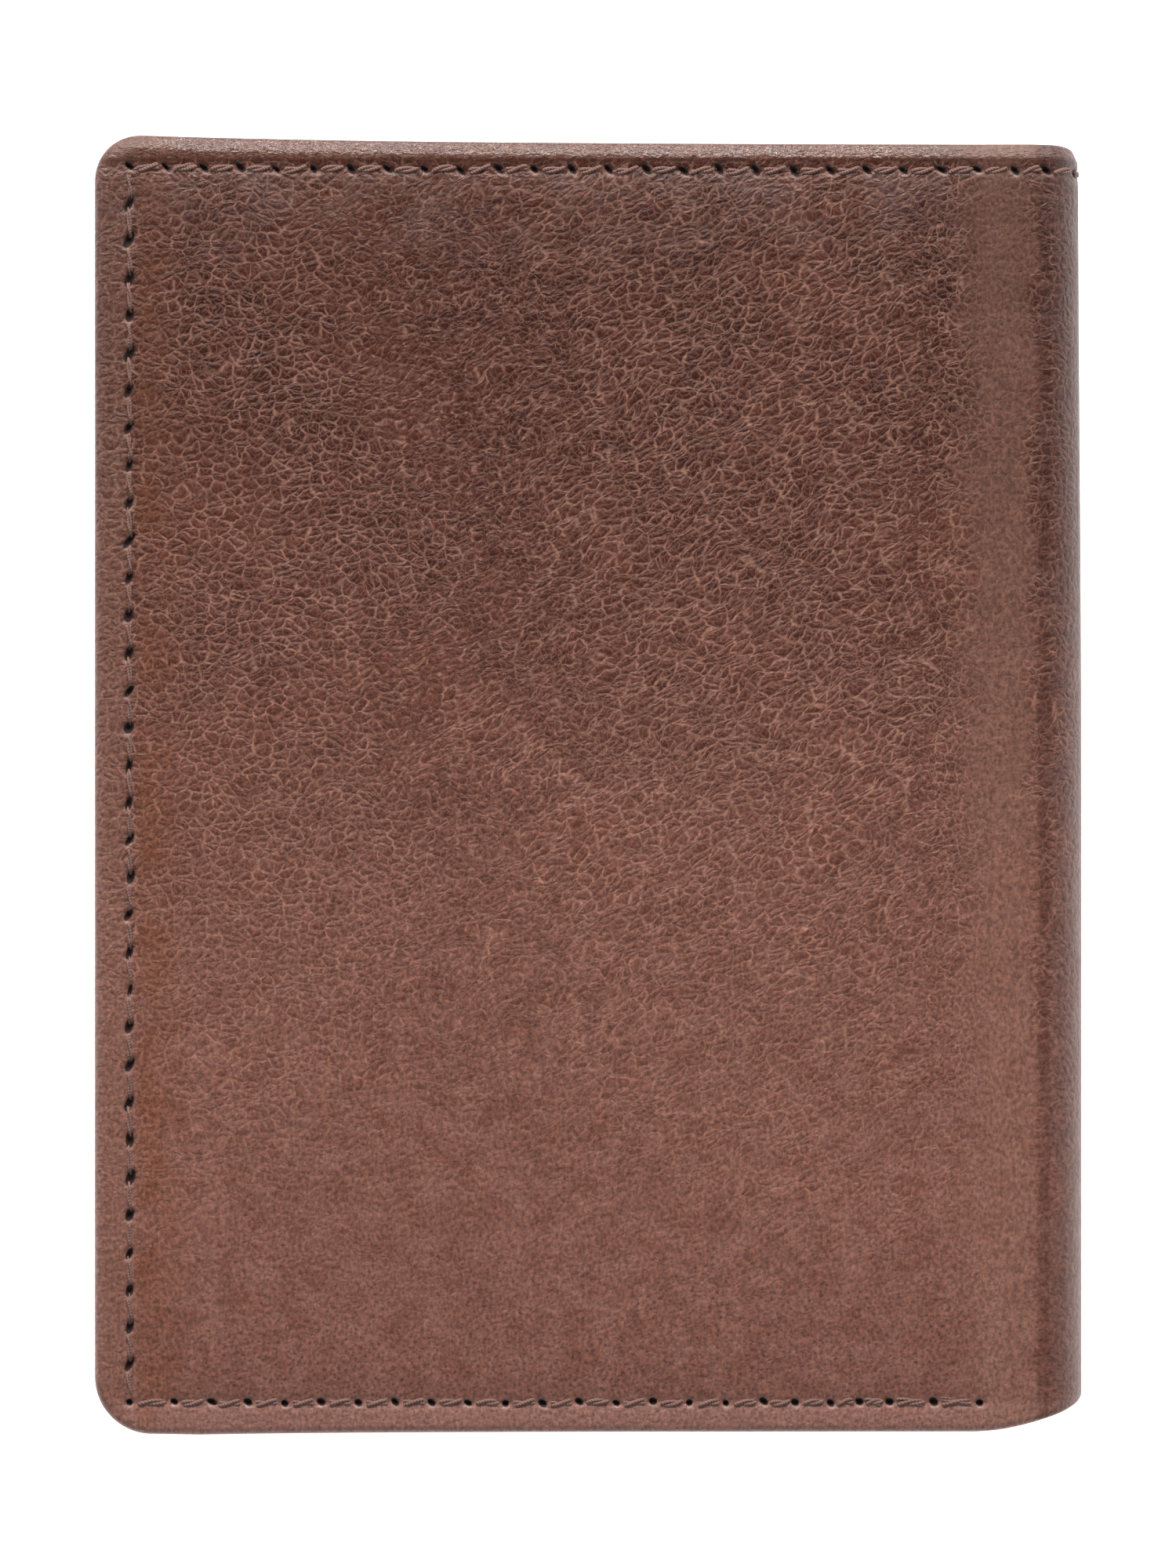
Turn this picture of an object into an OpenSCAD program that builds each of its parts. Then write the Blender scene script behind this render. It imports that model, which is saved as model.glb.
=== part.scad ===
// Trifold wallet, closed, lying on its middle panel.
// X runs across the wallet from the free edge to the outer fold, Y runs up its height and Z through
// its thickness. Three leather panels fold as a letter does: the inner flap first, about the fold on
// the left, then the outer flap over it, about the fold on the right. Each fold is a narrow strip of
// leather that bends along its two edges. Every panel is drawn as it lies when the wallet is flat,
// with depth 0 on the outer leather face, and is then folded into place.

/* [Closed wallet] */
// Width over the closed wallet
closed_w = 84; // [82:0.5:90]
// Height of the wallet, the same on all three panels
closed_h = 110.4; // [108:0.2:116]
// Thickness over the closed wallet, at the outer fold
closed_t = 19; // [19:0.5:25]
// Width of the inner flap, from its fold line to its free edge
inner_flap_w = 58.5; // [56:0.5:58.5]

/* [Leather and lining] */
// Thickness of the outer leather
leather_t = 1.0; // [0.8:0.1:1]
// Thickness of the stiffener glued behind the leather
stiffener_t = 0.3; // [0.2:0.05:0.3]
// Thickness of the fabric lining
lining_t = 0.2; // [0.1:0.05:0.2]
// Room for bills between the lining and the divider, when empty
bill_gap = 0.2; // [0.2:0.05:0.3]
// Thickness of the divider that the pockets are sewn to
divider_t = 0.3; // [0.2:0.05:0.3]
// Thickness of the leather of a card slot
slot_t = 0.4; // [0.3:0.05:0.4]

/* [Corners and folds] */
// Radius of the outer flap's top corner
top_corner_r = 4.0; // [3:0.2:5]
// Radius of the outer flap's bottom corner
bottom_corner_r = 4.8; // [3:0.2:5]
// Height that the bottom edge is cut back at the folds
fold_notch = 3.8; // [2:0.2:5]
// Distance of the outer fold's hinge lines from the leather's outer face
outer_fold_inset = 1.38; // [1.3:0.02:1.5]
// Distance of the inner fold's hinge lines from the leather's outer face
inner_fold_inset = 1.04; // [1:0.02:1.2]

/* [Card slots] */
// Distance from one slot mouth to the next on the outer flap
slot_step = 9; // [7:0.5:9]
// Distance from the outer fold line to the first slot mouth
first_mouth = 13; // [12:0.5:14]
// Depth of a card slot from mouth to closed end
slot_depth = 48; // [46:0.5:48]

/* [ID window] */
// Width of the leather frame round the window
frame_w = 66; // [64:0.5:68]
// Height of the leather frame round the window
frame_h = 98; // [94:0.5:99]
// Width of the window
window_w = 48; // [44:0.5:50]
// Height of the window
window_h = 80; // [76:0.5:82]
// Thickness of the clear vinyl
vinyl_t = 0.2; // [0.1:0.05:0.2]

/* [Stitching] */
// Distance from one stitch to the next
stitch_pitch = 3.2; // [2.8:0.1:4]
// Length of thread that shows in one stitch
stitch_len = 2.4; // [2:0.1:2.6]
// Width of the thread
thread_w = 0.6; // [0.4:0.1:0.8]
// Depth of the pressed groove that the thread lies in
groove_depth = 0.25; // [0.2:0.05:0.3]
// Distance of the side stitching from the free edge
side_inset = 3.0; // [2.5:0.1:3.2]
// Distance of the top and bottom stitching from the edge
edge_inset = 2.7; // [2.3:0.1:3]

/* [Hidden] */

leather = "#74503f";
slot_leather = "#6a4334";
lining = "#3b302c";
board = "#b9a88c";
thread = "#8a6a5e";
vinyl = "#d9dde0";

eps = 0.01;
half_h = closed_h / 2;
// Depth below the outer leather face at which each layer starts
stiffener_d = leather_t;
lining_d = stiffener_d + stiffener_t;
divider_d = lining_d + lining_t + bill_gap;
pocket_d = divider_d + divider_t;
// Room round each hinge line, so that the strips turn freely
hinge_gap = 0.3;
strip_gap = 0.6;
// The margin that is turned over or sewn along a panel's edge
margin = 4.7;
// The inside ends below the turned top edge of the leather
inside_top = half_h - 3;

// ID window and slip pocket on the middle panel
slip_t = 0.5;
frame_t = 0.7;
window_d = pocket_d + slip_t;
center_t = window_d + frame_t;
vinyl_lap = 4;
thumb_r = 6;
window_corner_r = 3;

// Inner flap: where it lies when the wallet is closed, and how it thins to its free edge
flap_clearance = 0.5;
inner_slots = 2;
inner_t = pocket_d + inner_slots * slot_t;
inner_top = center_t + flap_clearance + inner_t;
taper_w = 6;
taper_drop = 0.9;
inner_corner_r = 3;
inner_mouth = 6;
inner_slot_step = 7;

// Hinge lines
outer_x = closed_w / 2 - outer_fold_inset;
inner_x = closed_w / 2 - 0.1 - inner_fold_inset;
outer_flap_w = closed_w / 2 + outer_x;
outer_strip_w = closed_t - 2 * outer_fold_inset;
inner_strip_w = inner_top - 2 * inner_fold_inset;

// Where the stitching starts beside a fold, past the cut-back bottom edge
fold_seam_start = 7.2;
notch_run = 8;
notch_at_flap = 1.6;
proud = 0.15;

// ---- placing the panels ----

// The outer flap, drawn flat from its hinge line towards +X, folded over the top
module fold_outer_flap() {
  translate([outer_x, 0, closed_t]) rotate([0, 180, 0]) children();
}

// The inner flap, drawn flat from its hinge line towards -X, folded onto the middle panel
module fold_inner_flap() {
  translate([-inner_x, 0, inner_top]) rotate([0, 180, 0]) children();
}

// The outer fold's strip, drawn flat from the lower hinge line towards +X, standing upright
module stand_outer_strip() {
  translate([closed_w / 2, 0, outer_fold_inset]) rotate([0, -90, 0]) children();
}

// The inner fold's strip, drawn flat from the lower hinge line towards -X, standing upright
module stand_inner_strip() {
  translate([-inner_x - inner_fold_inset, 0, inner_fold_inset]) rotate([0, 90, 0]) children();
}

// ---- shapes shared by the panels ----

// A box from its lowest to its highest corner
module slab(x0, x1, y0, y1, z0, z1) {
  translate([x0, y0, z0]) cube([x1 - x0, y1 - y0, z1 - z0]);
}

// Outline of a panel from x = 0 to w, with its two free corners rounded
module panel_outline(w, top_r, bottom_r) {
  square([w - top_r, half_h]);
  translate([0, -half_h]) square([w - bottom_r, half_h]);
  translate([0, -half_h + bottom_r]) square([w, closed_h - top_r - bottom_r]);
  translate([w - top_r, half_h - top_r]) circle(r = top_r, $fn = 64);
  translate([w - bottom_r, -half_h + bottom_r]) circle(r = bottom_r, $fn = 64);
}

// The wedge taken off a panel's bottom edge beside a fold
module notch_wedge(depth) {
  translate([0, -half_h, -eps]) linear_extrude(height = depth + 2 * eps)
    polygon([[-eps, -1], [notch_run, -1], [notch_run, 0], [-eps, notch_at_flap]]);
}

// A sheet across a flap from x0 to x1, whose depth goes from d0 to d1 between bend0 and bend1
module stepped_sheet(x0, x1, y0, y1, t, d0, d1, bend0, bend1) {
  translate([0, y1, 0]) rotate([90, 0, 0]) linear_extrude(height = y1 - y0)
    polygon([[x0, d0], [bend0, d0], [bend1, d1], [x1, d1],
             [x1, d1 + t], [bend1, d1 + t], [bend0, d0 + t], [x0, d0 + t]]);
}

// A row of stitches along X, from x0 to x1
module stitch_row_x(x0, x1, y, z0, z1) {
  count = floor((x1 - x0) / stitch_pitch);
  for (i = [0 : count - 1])
    slab(x0 + i * stitch_pitch, x0 + i * stitch_pitch + stitch_len,
         y - thread_w / 2, y + thread_w / 2, z0, z1);
}

// A row of stitches along Y, from y0 to y1
module stitch_row_y(y0, y1, x, z0, z1) {
  count = floor((y1 - y0) / stitch_pitch);
  for (i = [0 : count - 1])
    slab(x - thread_w / 2, x + thread_w / 2,
         y0 + i * stitch_pitch, y0 + i * stitch_pitch + stitch_len, z0, z1);
}

// Groove along X in the outer face
module groove_x(x0, x1, y, depth0 = 0) {
  slab(x0, x1, y - thread_w, y + thread_w, depth0 - eps, depth0 + groove_depth);
}

// Groove along Y in the outer face
module groove_y(y0, y1, x, depth0 = 0) {
  slab(x - thread_w, x + thread_w, y0, y1, depth0 - eps, depth0 + groove_depth);
}

hem_y = half_h - edge_inset;
bottom_y = -half_h + edge_inset;

// ---- middle panel ----

// Leather of the middle panel: turned hem along the top, seam allowance along the bottom
module center_cover() {
  x0 = -inner_x + hinge_gap;
  x1 = outer_x - hinge_gap;
  color(leather) difference() {
    slab(x0, x1, -half_h, half_h, 0, divider_d);
    slab(x0 - 1, x1 + 1, -half_h + margin, half_h + 1, lining_d + lining_t, divider_d + 1);
    slab(x0 - 1, x1 + 1, -half_h + margin, half_h - margin, leather_t, divider_d + 1);
    slab(x0 - 1, x0 + 2, -half_h - 1, half_h + 1, lining_d, divider_d + 1);
    slab(x1 - 2, x1 + 1, -half_h - 1, half_h + 1, lining_d, divider_d + 1);
    translate([outer_x, 0, 0]) mirror([1, 0, 0]) notch_wedge(divider_d);
    translate([-inner_x, 0, 0]) notch_wedge(divider_d);
    groove_x(x0 - 1, x1 + 1, hem_y);
    groove_x(-inner_x + fold_seam_start, outer_x - fold_seam_start, bottom_y);
  }
}

module center_stiffener() {
  color(board) slab(-inner_x + 3, outer_x - 3, -half_h + margin, half_h - margin, stiffener_d, lining_d);
}

module center_lining() {
  color(lining) slab(-inner_x + 2, outer_x - 2, -half_h + margin, half_h - margin,
                     lining_d, lining_d + lining_t);
}

// Inner wall of the bill compartment, open along the top
module center_divider() {
  color(lining) difference() {
    slab(-inner_x + 1.6, outer_x - 1.6, -half_h, inside_top, divider_d, pocket_d);
    translate([outer_x, 0, divider_d]) mirror([1, 0, 0]) notch_wedge(divider_t);
    translate([-inner_x, 0, divider_d]) notch_wedge(divider_t);
  }
}

// Leather pocket behind the ID window, with its mouth beside the outer fold
module center_slip_pocket() {
  color(slot_leather) slab(-frame_w / 2 - 2, frame_w / 2 + 2, -half_h + 1, inside_top,
                           pocket_d, window_d);
}

// Outline of the window with rounded corners
module window_outline(grow) {
  w = window_w + 2 * grow;
  h = window_h + 2 * grow;
  r = window_corner_r;
  square([w - 2 * r, h], center = true);
  square([w, h - 2 * r], center = true);
  for (sx = [-1, 1], sy = [-1, 1])
    translate([sx * (w / 2 - r), sy * (h / 2 - r)]) circle(r = r, $fn = 48);
}

// Leather frame over the vinyl, with a thumb notch at the mouth
module id_window_frame() {
  color(slot_leather) difference() {
    slab(-frame_w / 2, frame_w / 2, -frame_h / 2 - 1, frame_h / 2 - 1, window_d, center_t);
    translate([0, -1, window_d - eps]) linear_extrude(height = frame_t + 2 * eps) window_outline(0);
    translate([0, -1, window_d - eps]) linear_extrude(height = vinyl_t + eps) window_outline(vinyl_lap);
    translate([frame_w / 2, -1, window_d - eps]) cylinder(h = frame_t + 2 * eps, r = thumb_r, $fn = 64);
  }
}

// Clear vinyl held under the frame
module id_window() {
  color(vinyl, 0.5) difference() {
    translate([0, -1, window_d]) linear_extrude(height = vinyl_t) window_outline(vinyl_lap);
    translate([frame_w / 2, -1, window_d - eps]) cylinder(h = frame_t, r = thumb_r, $fn = 64);
  }
}

module center_hem_stitches() {
  color(thread) stitch_row_x(-inner_x + 1, outer_x - 1, hem_y, 0, groove_depth);
}

module center_bottom_stitches() {
  color(thread) stitch_row_x(-inner_x + fold_seam_start + 0.5, outer_x - fold_seam_start, bottom_y,
                             0, groove_depth);
}

// Stitching round the three closed sides of the frame
module id_frame_stitches() {
  inset = 2;
  top = center_t + proud;
  color(thread) {
    stitch_row_y(-frame_h / 2 + inset, frame_h / 2 - 2 * inset, -frame_w / 2 + inset, center_t, top);
    for (y = [-frame_h / 2 - 1 + inset, frame_h / 2 - 1 - inset])
      stitch_row_x(-frame_w / 2 + 2 * inset, frame_w / 2 - inset, y, center_t, top);
  }
}

// ---- outer fold ----

// A strip of a fold, drawn flat between its hinge lines, with the bottom edge cut back
module fold_strip(w, y1, z0, z1) {
  slab(strip_gap, w - strip_gap, -half_h + fold_notch, y1, z0, z1);
}

module outer_fold_leather() {
  color(leather) stand_outer_strip() difference() {
    fold_strip(outer_strip_w, half_h, 0, leather_t);
    groove_x(0, outer_strip_w, hem_y);
  }
}

module outer_fold_lining() {
  color(lining) stand_outer_strip()
    fold_strip(outer_strip_w, half_h - margin, leather_t, leather_t + lining_t);
}

module outer_fold_divider() {
  color(lining) stand_outer_strip() fold_strip(outer_strip_w, inside_top, divider_d, pocket_d);
}

module outer_fold_stitches() {
  color(thread) stand_outer_strip()
    stitch_row_x(strip_gap + 0.5, outer_strip_w - strip_gap, hem_y, 0, groove_depth);
}

// ---- outer flap ----

// Leather of the outer flap: turned edges on three sides, open towards the fold
module outer_flap_cover() {
  w = outer_flap_w;
  color(leather) fold_outer_flap() difference() {
    linear_extrude(height = divider_d) intersection() {
      panel_outline(w, top_corner_r, bottom_corner_r);
      translate([hinge_gap, -half_h]) square([w, closed_h]);
    }
    slab(-1, w - margin, -half_h + margin, half_h + 1, lining_d + lining_t, divider_d + 1);
    slab(-1, w - margin, -half_h + margin, half_h - margin, leather_t, divider_d + 1);
    slab(-1, 2, -half_h - 1, half_h + 1, lining_d, divider_d + 1);
    notch_wedge(divider_d);
    groove_x(-1, w - side_inset + thread_w, hem_y);
    groove_x(fold_seam_start, w - side_inset + thread_w, bottom_y);
    groove_y(bottom_y, hem_y, w - side_inset);
  }
}

module outer_flap_stiffener() {
  color(board) fold_outer_flap()
    slab(3, outer_flap_w - margin, -half_h + margin, half_h - margin, stiffener_d, lining_d);
}

module outer_flap_lining() {
  color(lining) fold_outer_flap()
    slab(2, outer_flap_w - margin, -half_h + margin, half_h - margin, lining_d, lining_d + lining_t);
}

module outer_flap_divider() {
  w = outer_flap_w - 0.5;
  color(lining) fold_outer_flap() difference() {
    translate([0, 0, divider_d]) linear_extrude(height = divider_t) intersection() {
      panel_outline(w, top_corner_r, bottom_corner_r);
      translate([1.6, -half_h]) square([w, half_h + inside_top]);
    }
    translate([0, 0, divider_d]) notch_wedge(divider_t);
  }
}

// One card slot of the outer flap: it lies on the slots behind it, and drops to the divider past
// their closed ends
module outer_card_slot(k) {
  d = pocket_d + (k - 1) * slot_t;
  mouth = first_mouth + (k - 1) * slot_step;
  last = k == 3;
  closed_end = last ? outer_flap_w - 1 : mouth + slot_depth;
  bend = mouth + slot_depth - slot_step;
  color(slot_leather) fold_outer_flap() intersection() {
    stepped_sheet(mouth, closed_end, -half_h + 1, inside_top - 0.5, slot_t, d, pocket_d,
                  bend + 0.6, bend + 0.6 + 1.5 * (k - 1) + eps);
    linear_extrude(height = closed_t / 2) panel_outline(outer_flap_w - 1, top_corner_r, bottom_corner_r);
  }
}

module outer_card_slot_1() { outer_card_slot(1); }
module outer_card_slot_2() { outer_card_slot(2); }
module outer_card_slot_3() { outer_card_slot(3); }

module outer_flap_side_stitches() {
  color(thread) fold_outer_flap()
    stitch_row_y(bottom_y + 0.8, hem_y - thread_w, outer_flap_w - side_inset, 0, groove_depth);
}

module outer_flap_hem_stitches() {
  color(thread) fold_outer_flap()
    stitch_row_x(0.8, outer_flap_w - side_inset, hem_y, 0, groove_depth);
}

module outer_flap_bottom_stitches() {
  color(thread) fold_outer_flap()
    stitch_row_x(fold_seam_start + 0.3, outer_flap_w - side_inset, bottom_y, 0, groove_depth);
}

// Stitching along the top ends of the card slots
module outer_slot_stitches() {
  y = inside_top - 2;
  color(thread) fold_outer_flap() {
    for (k = [1 : 3]) {
      mouth = first_mouth + (k - 1) * slot_step;
      run_end = k == 3 ? mouth + slot_depth - slot_step : mouth + slot_step;
      d = pocket_d + k * slot_t;
      stitch_row_x(mouth + 0.8, run_end, y, d, d + proud);
    }
  }
}

// ---- inner fold ----

module inner_fold_leather() {
  color(leather) stand_inner_strip() mirror([1, 0, 0]) difference() {
    fold_strip(inner_strip_w, half_h, 0, leather_t);
    groove_x(0, inner_strip_w, hem_y);
  }
}

module inner_fold_lining() {
  color(lining) stand_inner_strip() mirror([1, 0, 0])
    fold_strip(inner_strip_w, half_h - margin, leather_t, leather_t + lining_t);
}

module inner_fold_divider() {
  color(lining) stand_inner_strip() mirror([1, 0, 0])
    fold_strip(inner_strip_w, inside_top, divider_d, pocket_d);
}

module inner_fold_stitches() {
  color(thread) stand_inner_strip() mirror([1, 0, 0])
    slab(inner_strip_w / 2 - stitch_len / 2, inner_strip_w / 2 + stitch_len / 2,
         hem_y - thread_w / 2, hem_y + thread_w / 2, 0, groove_depth);
}

// ---- inner flap ----

// Rounded outline of the inner flap, from its fold line towards its free edge
module inner_flap_blank(height, w) {
  linear_extrude(height = height) panel_outline(w, inner_corner_r, inner_corner_r);
}

// A sheet of the inner flap that thins towards the free edge by drop
module tapered_sheet(x0, x1, y0, y1, d, t, drop) {
  w = inner_flap_w;
  stepped_sheet(x0, x1, y0, y1, t, d, d + drop, w - taper_w, w);
}

// Leather of the inner flap: turned edges on three sides, sloping down to the free edge
module inner_flap_cover() {
  w = inner_flap_w;
  rim_end = w - margin;
  color(leather) fold_inner_flap() mirror([1, 0, 0]) intersection() {
    inner_flap_blank(inner_t, w);
    difference() {
      translate([0, half_h, 0]) rotate([90, 0, 0]) linear_extrude(height = closed_h)
        polygon([[hinge_gap, 0], [w - taper_w, 0], [w, taper_drop],
                 [w, divider_d + 0.4], [w - taper_w, divider_d], [hinge_gap, divider_d]]);
      slab(-1, rim_end, -half_h + margin, half_h + 1, lining_d + lining_t, inner_t);
      slab(-1, rim_end, -half_h + margin, half_h - margin, leather_t, inner_t);
      slab(-1, 2, -half_h - 1, half_h + 1, lining_d, inner_t);
      notch_wedge(inner_t);
      groove_x(-1, w - taper_w, hem_y);
      groove_x(fold_seam_start, w - taper_w, bottom_y);
    }
  }
}

module inner_flap_stiffener() {
  color(board) fold_inner_flap() mirror([1, 0, 0])
    slab(3, inner_flap_w - taper_w - 0.5, -half_h + margin, half_h - margin, stiffener_d, lining_d);
}

module inner_flap_lining() {
  color(lining) fold_inner_flap() mirror([1, 0, 0])
    slab(2, inner_flap_w - taper_w - 0.5, -half_h + margin, half_h - margin, lining_d, lining_d + lining_t);
}

module inner_flap_divider() {
  w = inner_flap_w;
  color(lining) fold_inner_flap() mirror([1, 0, 0]) difference() {
    intersection() {
      translate([0, inside_top, 0]) rotate([90, 0, 0]) linear_extrude(height = half_h + inside_top)
        polygon([[1.6, divider_d], [w - taper_w, divider_d], [w, divider_d + 0.4],
                 [w, pocket_d + 0.4], [w - taper_w, pocket_d], [1.6, pocket_d]]);
      inner_flap_blank(inner_t, w - 0.5);
    }
    translate([0, 0, divider_d]) notch_wedge(divider_t);
  }
}

// Rear card slot of the inner flap
module inner_card_slot_1() {
  color(slot_leather) fold_inner_flap() mirror([1, 0, 0])
    slab(inner_mouth, inner_flap_w - taper_w, -half_h + 1, inside_top - 0.5, pocket_d, pocket_d + slot_t);
}

// Front card slot of the inner flap, which runs to the free edge
module inner_card_slot_2() {
  color(slot_leather) fold_inner_flap() mirror([1, 0, 0]) intersection() {
    slab(inner_mouth + inner_slot_step, inner_flap_w, -half_h + 1, inside_top - 0.5,
         pocket_d + slot_t, inner_t);
    inner_flap_blank(inner_t, inner_flap_w - 1);
  }
}

// Stitching along the free edge, on the pocket side
module inner_flap_side_stitches() {
  color(thread) fold_inner_flap() mirror([1, 0, 0])
    stitch_row_y(bottom_y + 0.8, inside_top - 3, inner_flap_w - side_inset, inner_t, inner_t + proud);
}

module inner_flap_hem_stitches() {
  color(thread) fold_inner_flap() mirror([1, 0, 0])
    stitch_row_x(0.8, inner_flap_w - taper_w, hem_y, 0, groove_depth);
}

module inner_flap_bottom_stitches() {
  color(thread) fold_inner_flap() mirror([1, 0, 0])
    stitch_row_x(fold_seam_start + 0.3, inner_flap_w - taper_w, bottom_y, 0, groove_depth);
}

// Stitching along the top ends of the card slots
module inner_slot_stitches() {
  y = inside_top - 2;
  mouth_2 = inner_mouth + inner_slot_step;
  color(thread) fold_inner_flap() mirror([1, 0, 0]) {
    stitch_row_x(inner_mouth + 0.8, mouth_2, y, pocket_d + slot_t, pocket_d + slot_t + proud);
    stitch_row_x(mouth_2 + 0.8, inner_flap_w - side_inset, y, inner_t, inner_t + proud);
  }
}

center_cover();
center_stiffener();
center_lining();
center_divider();
center_slip_pocket();
id_window_frame();
id_window();
center_hem_stitches();
center_bottom_stitches();
id_frame_stitches();
outer_fold_leather();
outer_fold_lining();
outer_fold_divider();
outer_fold_stitches();
outer_flap_cover();
outer_flap_stiffener();
outer_flap_lining();
outer_flap_divider();
outer_card_slot_1();
outer_card_slot_2();
outer_card_slot_3();
outer_flap_side_stitches();
outer_flap_hem_stitches();
outer_flap_bottom_stitches();
outer_slot_stitches();
inner_fold_leather();
inner_fold_lining();
inner_fold_divider();
inner_fold_stitches();
inner_flap_cover();
inner_flap_stiffener();
inner_flap_lining();
inner_flap_divider();
inner_card_slot_1();
inner_card_slot_2();
inner_flap_side_stitches();
inner_flap_hem_stitches();
inner_flap_bottom_stitches();
inner_slot_stitches();
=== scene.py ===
import math

import bpy
import numpy as np
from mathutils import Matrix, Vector


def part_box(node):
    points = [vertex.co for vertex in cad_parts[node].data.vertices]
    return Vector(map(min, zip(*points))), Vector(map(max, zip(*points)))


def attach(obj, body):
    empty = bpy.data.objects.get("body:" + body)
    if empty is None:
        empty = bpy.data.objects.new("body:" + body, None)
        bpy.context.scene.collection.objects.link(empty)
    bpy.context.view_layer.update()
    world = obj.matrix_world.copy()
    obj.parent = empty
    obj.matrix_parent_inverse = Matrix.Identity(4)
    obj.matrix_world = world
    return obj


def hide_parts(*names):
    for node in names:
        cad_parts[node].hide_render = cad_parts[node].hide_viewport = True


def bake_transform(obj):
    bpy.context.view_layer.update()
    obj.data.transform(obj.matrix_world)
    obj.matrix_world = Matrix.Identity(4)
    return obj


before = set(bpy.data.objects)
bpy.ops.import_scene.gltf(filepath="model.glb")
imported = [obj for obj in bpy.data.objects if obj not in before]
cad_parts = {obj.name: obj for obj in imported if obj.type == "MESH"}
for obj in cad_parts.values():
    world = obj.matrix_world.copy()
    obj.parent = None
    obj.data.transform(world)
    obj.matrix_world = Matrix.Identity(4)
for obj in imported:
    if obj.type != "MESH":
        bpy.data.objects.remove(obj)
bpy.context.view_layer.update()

# All lengths below are millimetres and turn into metres where a mesh is made.
MM = 0.001

# ---- the wallet's own sizes, read from the frame ----


def box_mm(node):
    low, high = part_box(node)
    return np.array(low) / MM, np.array(high) / MM


flap_low, flap_high = box_mm("outer_flap_cover")
fold_high = box_mm("outer_fold_leather")[1]
inner_high = box_mm("inner_flap_cover")[1]
inner_fold_low = box_mm("inner_fold_leather")[0]
slip_low, slip_high = box_mm("center_slip_pocket")
window_low, window_high = box_mm("id_window_frame")
vinyl_low, vinyl_high = box_mm("id_window")
divider_low, divider_high = box_mm("center_divider")
lining_low, lining_high = box_mm("center_lining")

HALF_H = flap_high[1]
TOP = flap_high[2]
LEFT = flap_low[0]
RIGHT = fold_high[0]
INNER_FACE = -inner_fold_low[0]
INNER_TOP = inner_high[2]
INNER_TIP = inner_high[0]
INSIDE_TOP = divider_high[1]
DIVIDER_D, POCKET_D = divider_low[2], divider_high[2]
LINING_D = (lining_low[2] + lining_high[2]) / 2
HEM = HALF_H - lining_high[1]

NEUTRAL = 0.55
OUTER_INSET, INNER_INSET = 1.38, 1.04
# A bend keeps its length when its radius sets the hinge line at 0.785 of the radius past its start
BEND_SHARE = 0.215
OUTER_R = (OUTER_INSET - NEUTRAL) / BEND_SHARE
INNER_R = (INNER_INSET - NEUTRAL) / BEND_SHARE


class Fold:
    """One side of the wallet, from the middle of the middle panel round its fold and along its flap."""

    def __init__(self, sign, face, radius, top, end_x):
        self.sign, self.face, self.radius, self.top = sign, face, radius, top
        self.xc = face - NEUTRAL - radius
        self.z_low = NEUTRAL + radius
        self.z_high = top - NEUTRAL - radius
        quarter = radius * math.pi / 2
        self.quarter = quarter
        self.s1 = self.xc
        self.s2 = self.s1 + quarter
        self.s3 = self.s2 + self.z_high - self.z_low
        self.s4 = self.s3 + quarter
        self.end = self.s4 + self.xc + end_x
        self.middle = (self.s2 + self.s3) / 2

    def place(self, s, v, n):
        """Row-frame points, in mm, of places s along, v up and n deep under the outer leather face."""
        s, v, n = np.broadcast_arrays(np.asarray(s, float), v, n)
        rad = self.radius + NEUTRAL - n
        a = np.clip((s - self.s1) / self.quarter, 0, 1) * math.pi / 2
        b = np.clip((s - self.s3) / self.quarter, 0, 1) * math.pi / 2
        regions = [s < self.s1, s < self.s2, s < self.s3, s < self.s4]
        x = np.select(regions, [s, self.xc + rad * np.sin(a), self.face - n, self.xc + rad * np.cos(b)],
                      self.xc - (s - self.s4))
        z = np.select(regions, [n, self.z_low - rad * np.cos(a), self.z_low + s - self.s2,
                                self.z_high + rad * np.sin(b)], self.top - n)
        return np.stack([self.sign * x, v, z], -1)

    def at_x(self, x):
        """The distance s of a place on the flap, from its x."""
        return self.s4 + self.xc - self.sign * x


OUTER = Fold(1, RIGHT, OUTER_R, TOP, -LEFT)
INNER = Fold(-1, INNER_FACE, INNER_R, INNER_TOP, INNER_TIP)
# The grain runs over the whole hide without a break: U is x on the outer flap, and goes on from there
U_ZERO = OUTER.s4 + OUTER.xc
OUTER_FOLD_U = U_ZERO - OUTER.middle
INNER_FOLD_U = U_ZERO + INNER.middle


def u_of(fold, s):
    return U_ZERO - fold.sign * s


def smooth(x, low=0.0, high=1.0):
    t = np.clip((x - low) / (high - low), 0, 1)
    return t * t * (3 - 2 * t)


# ---- seams: holes and the pressed groove ----

PITCH = 3.14
# Depth of the pressed groove, and of the middle of the thread that lies in it
GROOVE = 0.1
THREAD_D = GROOVE + 0.01
TOP_SEAM, BOTTOM_SEAM = 52.35, -52.6
SIDE_SEAM_X = LEFT + 3.0
rng = np.random.default_rng(11)


def seam_top(u):
    """Height of the hem seam, which drifts down a little from the free edge to the fold."""
    return TOP_SEAM - 0.15 + 0.3 * np.exp(-(u - LEFT) / 20.0)


def evenly(start, end, pitch=PITCH):
    count = max(1, round(abs(end - start) / pitch))
    return np.linspace(start, end, count + 1)


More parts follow.
